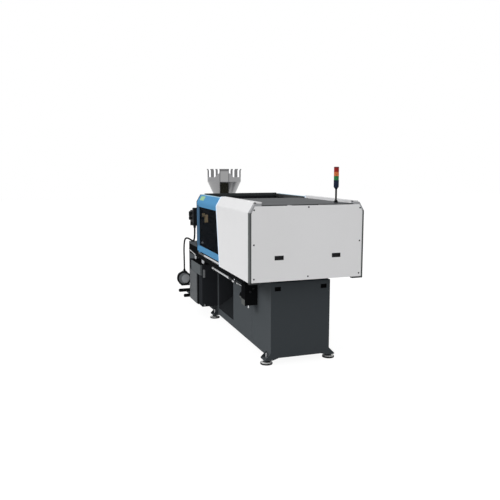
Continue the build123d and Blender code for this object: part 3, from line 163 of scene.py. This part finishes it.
class Look(Graph):
    """A node material built up in layers: a base, zones of other colours, mottling, relief."""

    EDGE = 0.0004    # half the width of the soft step round a zone

    def __init__(self, name, rgb, rough, metal=0.0, shine=0.5):
        self.mat = bpy.data.materials.new(name)
        self.mat.use_nodes = True
        super().__init__(self.mat.node_tree)
        self.bsdf = self.tree.nodes["Principled BSDF"]
        self.bsdf.inputs["Specular IOR Level"].default_value = shine
        coords = self.new("ShaderNodeTexCoord")
        self.place = coords.outputs["Object"]
        self.x, self.y, self.z = self.split(self.place)
        self.colour = linear(rgb)
        self.rough = rough
        self.metal = metal
        self.relief = None

    def mix(self, factor, a, b):
        """Colour a where factor is 0, colour b where it is 1."""
        node = self.new("ShaderNodeMix", data_type="RGBA")
        for value, into in zip((factor, a, b), (node.inputs[0], node.inputs[6], node.inputs[7])):
            self.put(value, into)
        return node.outputs[2]

    def blend(self, factor, a, b):
        """Number a where factor is 0, number b where it is 1."""
        node = self.new("ShaderNodeMix", data_type="FLOAT")
        for value, into in zip((factor, a, b), (node.inputs[0], node.inputs[2], node.inputs[3])):
            self.put(value, into)
        return node.outputs[0]

    def above(self, value, level, soft=EDGE):
        """1 where value is over level, 0 under it, with a soft step between."""
        return self.ramp(value, level - soft, level + soft, interpolation_type="SMOOTHSTEP")

    def below(self, value, level, soft=EDGE):
        """1 where value is under level."""
        return self.outside(self.above(value, level, soft))

    def within(self, value, start, end, soft=EDGE):
        """1 where value is between two levels."""
        return self.math("SUBTRACT", self.above(value, start, soft), self.above(value, end, soft))

    def radius(self, centre):
        """The distance from a line along X, whose place is given in Y and Z."""
        squares = [self.math("POWER", self.math("SUBTRACT", value, place), 2.0)
                   for value, place in zip((self.y, self.z), centre)]
        return self.math("SQRT", self.math("ADD", *squares))

    def facing(self, axis, sign=1, level=0.7):
        """1 on the faces that look along an axis."""
        normal = self.split(self.new("ShaderNodeNewGeometry").outputs["True Normal"])
        return self.above(self.math("MULTIPLY", normal["XYZ".index(axis)], sign), level, 0.02)

    def zone(self, mask, rgb, rough=None, metal=None):
        """Another finish where mask is 1."""
        self.colour = self.mix(mask, self.colour, linear(rgb))
        if rough is not None:
            self.rough = self.blend(mask, self.rough, rough)
        if metal is not None:
            self.metal = self.blend(mask, self.metal, metal)
        return self

    def noise(self, scale, detail=3.0, stretch=(1, 1, 1)):
        mapping = self.new("ShaderNodeMapping")
        self.link(self.place, mapping.inputs["Vector"])
        mapping.inputs["Scale"].default_value = stretch
        noise = self.new("ShaderNodeTexNoise")
        self.link(mapping.outputs[0], noise.inputs["Vector"])
        noise.inputs["Scale"].default_value = scale
        noise.inputs["Detail"].default_value = detail
        return noise.outputs["Fac"]

    def mottle(self, scale, amount, stretch=(1, 1, 1)):
        """Uneven colour: the noise takes the colour up to amount towards black."""
        factor = self.math("MULTIPLY", self.noise(scale, stretch=stretch), amount)
        self.colour = self.mix(factor, self.colour, linear((0, 0, 0)))
        return self

    def uneven(self, scale, amount, stretch=(1, 1, 1)):
        """Uneven roughness around its value."""
        swing = self.math("MULTIPLY", self.math("SUBTRACT", self.noise(scale, stretch=stretch), 0.5), amount)
        self.rough = self.math("ADD", self.rough, swing)
        return self

    def bump(self, height, depth):
        """Relief of a depth in metres, over any relief that is there."""
        node = self.new("ShaderNodeBump")
        node.inputs["Distance"].default_value = depth
        self.link(height, node.inputs["Height"])
        if self.relief is not None:
            self.link(self.relief, node.inputs["Normal"])
        self.relief = node.outputs[0]
        return self

    def grain(self, scale, depth, stretch=(1, 1, 1)):
        """Fine uneven relief."""
        return self.bump(self.noise(scale, 2.0, stretch), depth)

    def ribs(self, value, pitch, depth):
        """Parallel ribs in place of any other relief."""
        self.relief = None
        return self.bump(self.math("SINE", self.math("MULTIPLY", value, 2 * math.pi / pitch)), depth)

    def done(self, *nodes):
        """Joins the layers to the shader and gives the finish to CAD nodes."""
        self.put(self.colour, self.bsdf.inputs["Base Color"])
        self.put(self.rough, self.bsdf.inputs["Roughness"])
        self.put(self.metal, self.bsdf.inputs["Metallic"])
        if self.relief is not None:
            self.link(self.relief, self.bsdf.inputs["Normal"])
        for node in nodes:
            for slot in NODES[node].material_slots:
                slot.material = self.mat
        return self.mat


def paint(name, rgb, rough=0.42, shine=0.5):
    """Sprayed or powder paint: faint orange peel and very slightly uneven tone."""
    look = Look(name, rgb, rough, 0.0, shine)
    return look.mottle(2.2, 0.05).mottle(60, 0.02).uneven(9, 0.08).grain(900, 0.00006)


def casting_paint(name, rgb, rough=0.5, shine=0.5):
    """Brushed paint over a casting's skin."""
    look = Look(name, rgb, rough, 0.0, shine)
    return look.mottle(5, 0.1).uneven(12, 0.12).grain(160, 0.0005).grain(700, 0.0001)


def ground(name, rgb, rough, stretch=(1, 60, 60)):
    """Ground or turned steel, with fine lines, which run along X if nothing else is said."""
    look = Look(name, rgb, rough, 1.0)
    return look.mottle(3, 0.12).mottle(30, 0.1, stretch).uneven(30, 0.12, stretch).grain(60, 0.00003, stretch)


def stainless(name, rgb, rough):
    """Stainless sheet, with faint upright clouds."""
    return Look(name, rgb, rough, 1.0).mottle(3, 0.05).mottle(40, 0.05, (1, 1, 12))


def moulded(name, rgb, rough=0.45, shine=0.5):
    """Moulded plastic or rubber with a fine grain."""
    look = Look(name, rgb, rough, 0.0, shine)
    return look.mottle(20, 0.06).uneven(40, 0.1).grain(1500, 0.00005)


# How strongly paint mirrors: matt, satin and glossy
MATT = 0.0
SATIN = 0.05
GLOSSY = 0.15

# Colours used more than once
BLACK = (20, 21, 22)
IRON = (22, 23, 24)
# Black of the rubber hose, and painted shade on the gate rails' far end
HOSE_BLACK_AND_RAIL_SHADE = (26, 27, 28)
STEEL = (190, 191, 193)
CHROME = (214, 215, 217)
CASTING = (176, 180, 182)

# How noise is squeezed along each axis to give fine lines along one, or thin layers across it
LINES_Y = (60, 1, 60)
LINES_Z = (60, 60, 1)
LAYERS_Y = (1, 60, 1)
LAYERS_Z = (1, 1, 60)


# Side covers: white, with a painted pale blue reflection along the slanted edge that ends them
EDGE_FOOT = at(1.046)
EDGE_TOP = high("rear_cover")[0]
BLUE_REFLECTION_BAND = 0.03
cover = paint("cover_white", (213, 213, 214), 0.38, GLOSSY)
lean = (EDGE_TOP - EDGE_FOOT) / (COVER_FOLD - COVER_FOOT)
height = cover.math("SUBTRACT", cover.math("MINIMUM", cover.z, COVER_FOLD), COVER_FOOT)
upright_x = cover.math("SUBTRACT", cover.x, cover.math("MULTIPLY", height, lean))
# Painted reflection of the blue gate: a pale blue band along the slanted edge
cover.zone(cover.above(upright_x, EDGE_FOOT - BLUE_REFLECTION_BAND, soft=0.006), (214, 229, 246))
cover.done("rear_cover", "front_cover")
paint("end_grey", (216, 216, 217), 0.36, GLOSSY).done("end_cover")
paint("top_grey", (75, 77, 79), 0.4, SATIN).done("top_cover")

# Strips down the corners of the end: a painted highlight on the slopes, lighter outer sides as painted light,
# and painted shade below the end plate and, near black, on the faces that hook behind
STRIP_BEND = 0.0095
STRIP_SIDE = high("end_strips")[1] - STRIP_BEND
STRIP_SLOPE = COVER_FOLD + 0.002
trim = paint("trim_grey", (74, 75, 76), 0.4, SATIN)
# Painted light and shade on the strips, by the way each face looks and by height
trim.zone(trim.above(trim.math("ABSOLUTE", trim.y), STRIP_SIDE, soft=0.001), (82, 85, 85))
trim.zone(trim.above(trim.z, STRIP_SLOPE, soft=0.004), (150, 151, 153))
trim.zone(trim.below(trim.z, END_PLATE_FOOT, soft=0.001), (50, 51, 52))
trim.zone(trim.facing("X"), (24, 25, 26))
trim.done("end_strips")
paint("rail_dark", IRON, 0.5, MATT).done("cover_frame")

# Base: dark grey, with painted shade on its end, a painted shadow of the covers as a black band along its
# rear side, and painted shade inside the discharge bay
SKIN = 0.004      # how far the painted shadow's zone reaches to either side of the base's face
INSIDE = 0.001    # how far the bay's zone stays inside that face
COVER_SHADOW_X = span(2.75, 3.95)
COVER_SHADOW_Z = (0.662, 0.806)
BAY_X = span(1.409, 2.041)
BAY_Y = (INSIDE - BASE_SIDE, BASE_SIDE - INSIDE)
BAY_Z = (0.149, 0.701)
base = paint("base_grey", (76, 80, 83), 0.4, MATT)
# Painted shade on the end face
base.zone(base.facing("X", -1), (58, 62, 65))
# Painted shadow cast by the covers: a black band on the rear side
cover_shadow = base.both(base.within(base.x, *COVER_SHADOW_X), base.within(base.y, BASE_SIDE - SKIN, BASE_SIDE + SKIN),
                  base.within(base.z, *COVER_SHADOW_Z))
base.zone(cover_shadow, BLACK)
# Painted shade inside the discharge bay
shaded_bay = base.both(base.within(base.x, *BAY_X), base.within(base.y, *BAY_Y), base.within(base.z, *BAY_Z))
base.zone(shaded_bay, (46, 48, 51))
base.done("base_frame")

# Gates: blue, with painted shade on the post beside the window, a painted highlight on top, a pale field, and
# painted shade inside the front one's top
POST_X = span(1.962, 2.06)
POST_Z = (0.99, 1.5)
ROOF_Z = 1.6
FIELD_X = span(1.80, 1.99)
FIELD_Y = 0.5
FIELD_Z = (1.565, 1.615)
INNER_Y = -0.46
INNER_Z = 1.46
blue = paint("gate_blue", (82, 136, 176), 0.35, MATT)
# Painted shade on the post beside the window
shaded_post = blue.both(blue.within(blue.x, *POST_X), blue.within(blue.z, *POST_Z, soft=0.02), blue.facing("Y"))
blue.zone(shaded_post, (66, 92, 116))
# Painted highlight on the top faces
blue.zone(blue.both(blue.facing("Z", level=0.9), blue.above(blue.z, ROOF_Z)), (150, 180, 196))
field = blue.both(blue.within(blue.x, *FIELD_X), blue.within(blue.z, *FIELD_Z), blue.above(blue.y, FIELD_Y))
blue.zone(field, (140, 176, 138))
# Painted shade inside the front gate's top
shaded_inner_top = blue.both(blue.above(blue.z, INNER_Z, soft=0.001), blue.below(blue.y, INNER_Y),
                      blue.facing("Y", level=0.2))
blue.zone(shaded_inner_top, (40, 41, 42))
blue.done("rear_gate", "front_gate")

# Bulkhead, panel arm and chute: black, with a paler band along the bulkhead's top; the chute's dark tone is
# painted shade inside the machine
BAND_FOOT = 1.605
wall = paint("frame_black", (30, 31, 33), 0.42, MATT)
wall.zone(wall.above(wall.z, BAND_FOOT, soft=0.002), (52, 55, 56))
wall.done("bulkhead", "panel_arm", "hinge_pins")
# The chute is painted dark as painted shade inside the machine
paint("chute_painted_shade", (36, 38, 40), 0.5, MATT).done("product_chute")

# Window panes, dark tinted, and the sight glass, nearly opaque and dark as painted shade for the inside of
# the hopper
WINDOW_TINT = (12, 18, 25)
WINDOW_ALPHA = 0.32
for name, node, rgb, alpha in (("window_tint", "rear_gate_window", WINDOW_TINT, WINDOW_ALPHA),
                               ("window_tint_front", "front_gate_window", WINDOW_TINT, WINDOW_ALPHA),
                               ("sight_painted_shade", "sight_glass", (48, 48, 41), 0.85)):
    pane = Look(name, rgb, rough=0.1, shine=0.001).mottle(8, 0.1)
    pane.done(node)
    pane.bsdf.inputs["Alpha"].default_value = alpha

# Platens, with bare ground faces where a mould seats
FACE_SKIN = 0.001
casting_paint("casting_grey", CASTING).done(
    "tail_platen", "clamp_cylinder", "feed_block", "drive_plate", "injection_cylinders", "ejector_cylinders")
platen = casting_paint("platen_grey", CASTING)
for face in (high("moving_platen")[0], low("fixed_platen")[0]):
    bare = platen.within(platen.x, face - FACE_SKIN, face + FACE_SKIN)
    platen.zone(bare, (170, 172, 174), rough=0.3, metal=1.0)
platen.done("moving_platen", "fixed_platen")

# Bare steel of the clamp, the injection unit and the gates
ground("ground_steel", STEEL, 0.22).done(
    "tie_bars", "slide_bars", "seat_rod", "screw", "barrel", "nozzle", "ejector_plate")
ground("ram_chrome", CHROME, 0.12).done("ram")
ground("band_steel", (150, 140, 124), 0.34, LINES_Y).done("heater_bands")
ground("shutoff_aluminium", (176, 177, 179), 0.36).done("shutoff_block")
ground("slide_steel", STEEL, 0.28).done("shutoff_slide")
ground("guard_steel", (186, 188, 190), 0.3).done("barrel_guard", "purge_guard")
ground("handle_chrome", CHROME, 0.12, LINES_Z).done("front_gate_handle")
paint("motor_black", (38, 39, 41), 0.45, SATIN).done("screw_motor")

# Gate rails: bright, with dark upper ones and painted shade on their far end
UPPER_RAILS = 1.5
RAIL_SHADE_FROM = at(1.78)
rails = ground("rail_steel", CHROME, 0.3)
rails.zone(rails.above(rails.z, UPPER_RAILS), (42, 43, 44), rough=0.5, metal=0.0)
# Painted shade on the rails' far end
rails.zone(rails.above(rails.x, RAIL_SHADE_FROM), HOSE_BLACK_AND_RAIL_SHADE, rough=0.5, metal=0.0)
rails.done("gate_rails")

# Hopper: polished, with painted reflections on its front, a pale panel round the sight glass and greyer
# borders beside it, and painted shade above it
PANEL_HALF = 0.053
BORDER_HALF = 0.067
PANEL_TOP = 1.916
FRONT_REACH = 0.18
polished = stainless("hopper_steel", (224, 224, 226), 0.012)
forward = polished.math("MULTIPLY", polished.math("SUBTRACT", polished.x, HOPPER_X), math.sin(HOPPER_TURN))
sideways = polished.math("MULTIPLY", polished.y, math.cos(HOPPER_TURN))
beside = polished.math("ABSOLUTE", polished.math("ADD", forward, sideways))
front = polished.math("LESS_THAN", polished.x, HOPPER_X - FRONT_REACH)
past_panel = polished.above(beside, PANEL_HALF)
past_border = polished.above(beside, BORDER_HALF)
# Painted reflections and shade, on the front only
polished.zone(polished.both(front, polished.outside(past_panel)), (228, 228, 229))
polished.zone(polished.both(front, polished.math("SUBTRACT", past_panel, past_border)), (176, 176, 178))
polished.zone(polished.both(front, polished.outside(past_border), polished.above(polished.z, PANEL_TOP)),
              (168, 168, 170))
polished.done("hopper", "hopper_lid")
# The cone: the same steel, darker as painted shade on its down-turned slope
stainless("hopper_cone_shaded_steel", (154, 154, 155), 0.3).done("hopper_cone")

# Signal tower: dark foot and pole, navy base, three lenses with ribs, dark cap
POLE_TOP = 1.755
LENS_HEIGHT = 0.041
CAP_HEIGHT = 0.01
LENS_COLOURS = ((50, 122, 70), (204, 112, 66), (150, 40, 36))
RIB_PITCH = 0.0035
RIB_DEPTH = 0.0006
tower = moulded("tower_plastic", (34, 42, 62), 0.4, SATIN)
tower.zone(tower.below(tower.z, POLE_TOP, soft=0.003), (10, 11, 14), rough=0.4)
lens_z = high("signal_tower")[2] - CAP_HEIGHT - len(LENS_COLOURS) * LENS_HEIGHT
for lens_rgb in LENS_COLOURS:
    tower.zone(tower.within(tower.z, lens_z, lens_z + LENS_HEIGHT), lens_rgb, rough=0.25)
    lens_z += LENS_HEIGHT
tower.zone(tower.above(tower.z, lens_z), (92, 40, 44), rough=0.3)
tower.ribs(tower.z, RIB_PITCH, RIB_DEPTH)
tower.done("signal_tower")

# Oil tank: black, with painted shade on top, a grey panel on its side, and its fittings
PANEL_SINK = 0.0245
PANEL_FOOT = 0.584
PANEL_FAR = at(2.61)
tank = paint("tank_black", (41, 43, 46), 0.4, MATT)
side_panel = tank.both(tank.above(tank.y, high("oil_tank")[1] - PANEL_SINK), tank.above(tank.z, PANEL_FOOT),
                       tank.below(tank.x, PANEL_FAR))
tank.zone(side_panel, (89, 93, 95))
# Painted shade on the top faces, under the covers
tank.zone(tank.facing("Z"), (12, 13, 14))
tank.done("oil_tank")
fittings = ground("fitting_chrome", (176, 178, 181), 0.2, LAYERS_Z)
before_tank = fittings.below(fittings.x, low("oil_tank")[0], soft=0.0002)
fittings.zone(before_tank, (130, 132, 134), rough=0.3, metal=0.2)
fittings.done("tank_fittings")

# Service door: grey, with a dark hinge leaf and a bright latch
HINGE_LEAF = 0.013
door = paint("door_grey", (70, 73, 76), 0.42, SATIN)
door.zone(door.below(door.x, low("service_door")[0] + HINGE_LEAF), IRON)
door.done("service_door")
ground("latch_chrome", CHROME, 0.16, LAYERS_Y).done("door_latch")

# Pump motor: a grey fan cowl, lighter on its end face as painted light, with a pale boss in its end, black
# round the rim and behind
MOTOR_AXIS = (0.542, 0.371)
BOSS_AXIS = (0.518, 0.365)
BOSS_RADIUS = 0.062
RIM_RADIUS = 0.079
SHELL_RADIUS = 0.1005
COWL_LENGTH = 0.03
RIM_LENGTH = 0.044
ROUND_SOFT = 0.001
motor = casting_paint("motor_grey", (98, 101, 104), 0.5, SATIN)
motor_end = low("pump_motor")[0]
cowl = motor.below(motor.x, motor_end + COWL_LENGTH)
boss = motor.both(motor.below(motor.radius(BOSS_AXIS), BOSS_RADIUS, ROUND_SOFT), cowl)
from_axis = motor.radius(MOTOR_AXIS)
rim = motor.both(motor.above(from_axis, RIM_RADIUS, ROUND_SOFT), motor.below(motor.x, motor_end + RIM_LENGTH))
# Painted light: the cowl's end face lighter
motor.zone(motor.both(motor.facing("X", -1), cowl), (116, 119, 122))
motor.zone(boss, (166, 169, 172))
motor.zone(rim, BLACK)
motor.zone(motor.above(from_axis, SHELL_RADIUS, ROUND_SOFT), BLACK)
motor.done("pump_motor")
moulded("filter_black", IRON, 0.35, MATT).done("oil_filters")

# Lubrication unit: black, grey behind its black front
HOUSING_FROM = at(0.56)
HOUSING_Z = (0.5, 0.592)
lubrication = casting_paint("lubrication_black", BLACK, 0.5, MATT)
housing = lubrication.both(lubrication.above(lubrication.x, HOUSING_FROM),
                           lubrication.within(lubrication.z, *HOUSING_Z, soft=0.006),
                           lubrication.outside(lubrication.facing("X", -1)))
lubrication.zone(housing, (92, 94, 93))
lubrication.done("lubrication_unit")

# Pipework: chrome, then a black hose, then a pale run, with a blue ball valve
HOSE_AXIS = (0.385, 0.676)
HOSE_RADIUS = 0.0078
HOSE_X = span(1.06, 1.36)
PALE_FROM = at(1.37)
pipe = ground("pipe_chrome", CHROME, 0.2)
hose = pipe.both(pipe.below(pipe.radius(HOSE_AXIS), HOSE_RADIUS, ROUND_SOFT), pipe.within(pipe.x, *HOSE_X))
pipe.zone(hose, HOSE_BLACK_AND_RAIL_SHADE, rough=0.5, metal=0.0)
pipe.zone(pipe.above(pipe.x, PALE_FROM), (222, 223, 225), rough=0.35, metal=0.25)
pipe.done("lube_pipe")
moulded("lever_blue", (40, 62, 120), 0.35).done("valve_lever")
casting_paint("manifold_black", (30, 32, 33), 0.5, SATIN).done("core_pull_manifold")

# Mounts: a black pad under a steel cup, whose pale rim and dark middle are painted matt in place of the
# steel's reflections
CUP_RIM = 0.021
CUP_TOP = 0.029
moulded("pad_rubber", (20, 20, 21), 0.6, MATT).done("mount_pads")
mount = ground("mount_steel", (196, 197, 199), 0.3, (1, 1, 40))
# Painted reflections: the cup's pale rim and dark middle
mount.zone(mount.below(mount.z, CUP_RIM), (190, 191, 190), rough=0.5, metal=0.0)
mount.zone(mount.within(mount.z, CUP_RIM, CUP_TOP), (40, 41, 42), rough=0.5, metal=0.0)
mount.done("mount_screws")

# Finger cups, paler in the end plate than in the base
finger_cup = moulded("cup_plastic", (12, 12, 13), 0.5, MATT)
finger_cup.zone(finger_cup.above(finger_cup.z, END_PLATE_FOOT), (44, 44, 45))
finger_cup.done("finger_cups")

# Operator panel with its dark screen
SCREEN_SINK = 0.0045
SCREEN_SKIN = 0.0015
panel = paint("panel_shell", (150, 154, 160), 0.45)
screen_y = low("operator_panel")[1] + SCREEN_SINK
screen = panel.both(panel.within(panel.y, screen_y - SCREEN_SKIN, screen_y + SCREEN_SKIN, soft=0.0002),
                    panel.facing("Y", -1))
panel.zone(screen, (26, 30, 36), rough=0.15)
panel.done("operator_panel")

# Emergency stop: a red button on a steel ring
BUTTON_DEPTH = 0.0145
stop = moulded("stop_red", (190, 30, 26), 0.3)
ring = stop.above(stop.y, low("emergency_stop")[1] + BUTTON_DEPTH)
stop.zone(ring, (120, 122, 126), rough=0.3, metal=1.0)
stop.done("emergency_stop")


# Small added pieces


def add(name, data):
    """A new object in the scene."""
    made = bpy.data.objects.new(name, data)
    bpy.context.scene.collection.objects.link(made)
    return made


def piece(name, form, look, body):
    """A finished form as a piece that rides on a body."""
    mesh = bpy.data.meshes.new(name)
    form.to_mesh(mesh)
    form.free()
    mesh.materials.append(look)
    made = add(name, mesh)
    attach(made, body)
    return made


def turned(name, profile, places, direction, look, body, segments=32):
    """Turned heads of one outline of (radius, height) points, stood on places along a direction."""
    form = bmesh.new()
    turn = Vector((0, 0, 1)).rotation_difference(Vector(direction)).to_matrix().to_4x4()
    around = [2 * math.pi * i / segments for i in range(segments)]
    for place in places:
        before = len(form.verts)
        rings = [[form.verts.new((r * math.cos(angle), r * math.sin(angle), h)) for angle in around]
                 for r, h in profile]
        for inner, outer in zip(rings, rings[1:]):
            for i in range(segments):
                j = (i + 1) % segments
                form.faces.new((inner[i], inner[j], outer[j], outer[i])).smooth = True
        form.faces.new(rings[-1])
        form.faces.new(rings[0][::-1])
        form.verts.ensure_lookup_table()
        bmesh.ops.transform(form, matrix=Matrix.Translation(place) @ turn, verts=form.verts[before:])
    bmesh.ops.recalc_face_normals(form, faces=form.faces)
    return piece(name, form, look, body)


def blocks(name, boxes, edge, look, body):
    """Blocks with softly rounded edges, each given by its lowest and highest corner, as one piece."""
    form = bmesh.new()
    for lowest, highest in boxes:
        made = bmesh.ops.create_cube(form, size=1)["verts"]
        sides = [b - a for a, b in zip(lowest, highest)]
        middle = [(a + b) / 2 for a, b in zip(lowest, highest)]
        bmesh.ops.scale(form, vec=sides, verts=made)
        bmesh.ops.translate(form, vec=middle, verts=made)
    bmesh.ops.bevel(form, geom=form.edges[:], offset=edge, segments=3, affect="EDGES", profile=0.5)
    return piece(name, form, look, body)


def button_head(radius, height, socket):
    """Outline of a round headed screw with a round socket."""
    return [(radius, 0), (radius, height * 0.35), (radius * 0.86, height * 0.8), (radius * 0.6, height),
            (socket, height), (socket * 0.96, height * 0.35), (0.0004, height * 0.3)]


OUTWARD = (-1, 0, 0)    # the way that the clamp end faces

# Screw heads down both sides of the clamp end's plate and in the middle of its lower and upper edge
end_x = low("end_cover")[0]
screw_rows = ((0.557, 0.917), (0.557, 1.244), (0.555, 1.571))
screw_places = [(end_x, side * y, z) for y, z in screw_rows for side in (-1, 1)]
screw_places += [(end_x, 0, 0.916), (end_x, 0, 1.589)]
screw_look = ground("screw_dark", (52, 53, 55), 0.4).done()
turned("cover_screws", button_head(radius=0.008, height=0.004, socket=0.0038), screw_places, OUTWARD,
       screw_look, "machine")

# Two larger heads on the face of the lubrication unit
lube_x = low("lubrication_unit")[0]
turned("lubrication_screws", button_head(radius=0.011, height=0.006, socket=0.005),
       [(lube_x, 0.402, 0.675), (lube_x, 0.368, 0.709)], OUTWARD, screw_look, "machine")

# Gate switch with its bracket, and a round cap, on the clamp side of the bulkhead behind the rear window
wall_x = low("bulkhead")[0]
switch_body = ((wall_x - 0.034, 0.457, 1.276), (wall_x, 0.501, 1.374))
switch_bracket = ((wall_x - 0.028, 0.492, 1.352), (wall_x, 0.529, 1.392))
switch_look = moulded("switch_beige", (222, 196, 150), 0.5).done()
blocks("gate_switch", [switch_body, switch_bracket], 0.003, switch_look, "machine")
cap_outline = [(0.0135, 0), (0.0135, 0.008), (0.011, 0.012), (0.0004, 0.013)]
cap_look = moulded("cap_white", (214, 214, 214), 0.4).done()
turned("bulkhead_cap", cap_outline, [(wall_x, 0.527, 1.017)], OUTWARD, cap_look, "machine")

# Power cable between the manifold and the motor's terminal box, along stations from the clamp end
CABLE_RADIUS = 0.011
CABLE_ROUTE = [
    (2.150, 0.606, 1.204), (2.150, 0.606, 1.090), (2.232, 0.602, 1.016), (2.420, 0.596, 1.018),
    (2.700, 0.584, 1.014), (2.960, 0.562, 0.960), (3.100, 0.542, 0.800), (3.160, 0.526, 0.640),
    (3.160, 0.526, 0.495),
]
curve = bpy.data.curves.new("power_cable_line", "CURVE")
curve.dimensions = "3D"
curve.bevel_depth = CABLE_RADIUS
curve.bevel_resolution = 6
curve.resolution_u = 16
line = curve.splines.new("NURBS")
line.points.add(len(CABLE_ROUTE) - 1)
for point, (station, y, z) in zip(line.points, CABLE_ROUTE):
    point.co = (at(station), y, z, 1)
line.order_u = 3
line.use_endpoint_u = True
curve.materials.append(moulded("cable_sheath", (20, 20, 22), 0.4, MATT).done())
cable = add("power_cable_line", curve)
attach(cable, "machine")
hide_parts("power_cable")


# Studio

CAMERA_PLACE = Vector((-7.0687, 2.341, 1.9558))
CAMERA_AIM = Vector((0.9367, -0.3213, -0.1390))

# Bright cards, as angles either side of the way from the hopper to the camera, and a darker strip low down
CARDS = ((32, 44), (61, 74), (106, 128))
CARD_LEVEL = 1.6
STRIP_FROM = 24
STRIP_TOP = 0.03
STRIP_SHADE = 0.16

# Their foot falls from one height to another between two such angles
FOOT_ANGLES = (38, 67)
FOOT_HEIGHTS = (-0.0086, -0.0148)

# Soft light rises from its level at the sides to its level overhead between two heights
SOFT_HEIGHTS = (0.25, 0.8)
SOFT_LEVELS = (0.42, 1.0)

# World: white to the camera, a studio of soft light and the bright cards to everything else
world = bpy.data.worlds.new("studio")
bpy.context.scene.world = world
world.use_nodes = True
world.node_tree.nodes.clear()
studio = Graph(world.node_tree)
ray = studio.split(studio.new("ShaderNodeTexCoord").outputs["Generated"])
to_camera = math.atan2(CAMERA_PLACE.y, CAMERA_PLACE.x - HOPPER_X)
azimuth = studio.math("SUBTRACT", studio.math("ARCTAN2", ray[1], ray[0]), to_camera)
aside = studio.math("ABSOLUTE", studio.math("WRAP", azimuth, math.pi, -math.pi))
cards = 0.0
for card_start, card_end in CARDS:
    past_start = studio.math("GREATER_THAN", aside, math.radians(card_start))
    before_end = studio.math("LESS_THAN", aside, math.radians(card_end))
    cards = studio.math("ADD", cards, studio.math("MULTIPLY", past_start, before_end))
foot = studio.ramp(aside, *(math.radians(angle) for angle in FOOT_ANGLES), *FOOT_HEIGHTS)
raised = studio.math("GREATER_THAN", ray[2], foot)
strip = studio.both(raised, studio.math("LESS_THAN", ray[2], STRIP_TOP),
                    studio.math("GREATER_THAN", aside, math.radians(STRIP_FROM)))
soft = studio.ramp(ray[2], *SOFT_HEIGHTS, *SOFT_LEVELS, interpolation_type="SMOOTHSTEP")
shaded = studio.math("SUBTRACT", soft, studio.math("MULTIPLY", strip, STRIP_SHADE))
lit = studio.math("MULTIPLY", studio.both(cards, raised), CARD_LEVEL)
studio.choose(
    studio.rays("Is Camera Ray", "Is Transmission Ray"),
    studio.shader("ShaderNodeBackground", Strength=studio.math("MAXIMUM", lit, shaded), Color=(1, 1, 1, 1)),
    studio.shader("ShaderNodeBackground", Strength=1.0, Color=(1, 1, 1, 1)),
    "ShaderNodeOutputWorld")

# Floor: pale, and white with a faint shadow to the camera, in gloss and through glass
FLOOR_HALF = 30.0
FLOOR_DROP = 0.0005
FLOOR_TONE = (0.42, 0.42, 0.42, 1)
SHADOW_TONE = (0.12, 0.12, 0.12, 1)
FLOOR_GLOW = 0.92
floor_mesh = bpy.data.meshes.new("floor")
floor_mesh.from_pydata([(x * FLOOR_HALF, y * FLOOR_HALF, -FLOOR_DROP)
                        for x, y in ((-1, -1), (1, -1), (1, 1), (-1, 1))], [], [(0, 1, 2, 3)])
floor_look = bpy.data.materials.new("floor_pale")
floor_look.use_nodes = True
floor_look.node_tree.nodes.clear()
pale = Graph(floor_look.node_tree)
glow = pale.new("ShaderNodeAddShader")
pale.link(pale.shader("ShaderNodeBsdfDiffuse", Color=SHADOW_TONE), glow.inputs[0])
pale.link(pale.shader("ShaderNodeEmission", Strength=FLOOR_GLOW), glow.inputs[1])
pale.choose(
    pale.rays("Is Glossy Ray", "Is Transmission Ray", "Is Camera Ray"),
    pale.shader("ShaderNodeBsdfDiffuse", Color=FLOOR_TONE),
    glow.outputs[0],
    "ShaderNodeOutputMaterial")
floor_mesh.materials.append(floor_look)
floor = add("floor", floor_mesh)

# Key light from the rear side and above, and a weaker one on the clamp end, which no metal mirrors
for name, direction, strength, angle, mirrored in (
        ("key", (-0.25, -1.0, -0.55), 1.3, 25, True), ("end_fill", (1.0, -0.15, -0.25), 0.6, 30, False)):
    light = bpy.data.lights.new(name, "SUN")
    light.energy = strength
    light.angle = math.radians(angle)
    lamp = add(name, light)
    lamp.rotation_euler = Vector(direction).to_track_quat("-Z", "Y").to_euler()
    lamp.visible_glossy = mirrored

# Camera fitted to the photograph
FOCAL_PX = 581.8
PHOTO_PX = 500
view = bpy.data.cameras.new("photo_camera")
view.sensor_width = 36
view.lens = FOCAL_PX / PHOTO_PX * view.sensor_width
view.clip_end = 60
camera = add("photo_camera", view)
camera.location = CAMERA_PLACE
camera.rotation_euler = CAMERA_AIM.to_track_quat("-Z", "Y").to_euler()
bpy.context.scene.camera = camera
bpy.context.scene.view_settings.view_transform = "Standard"
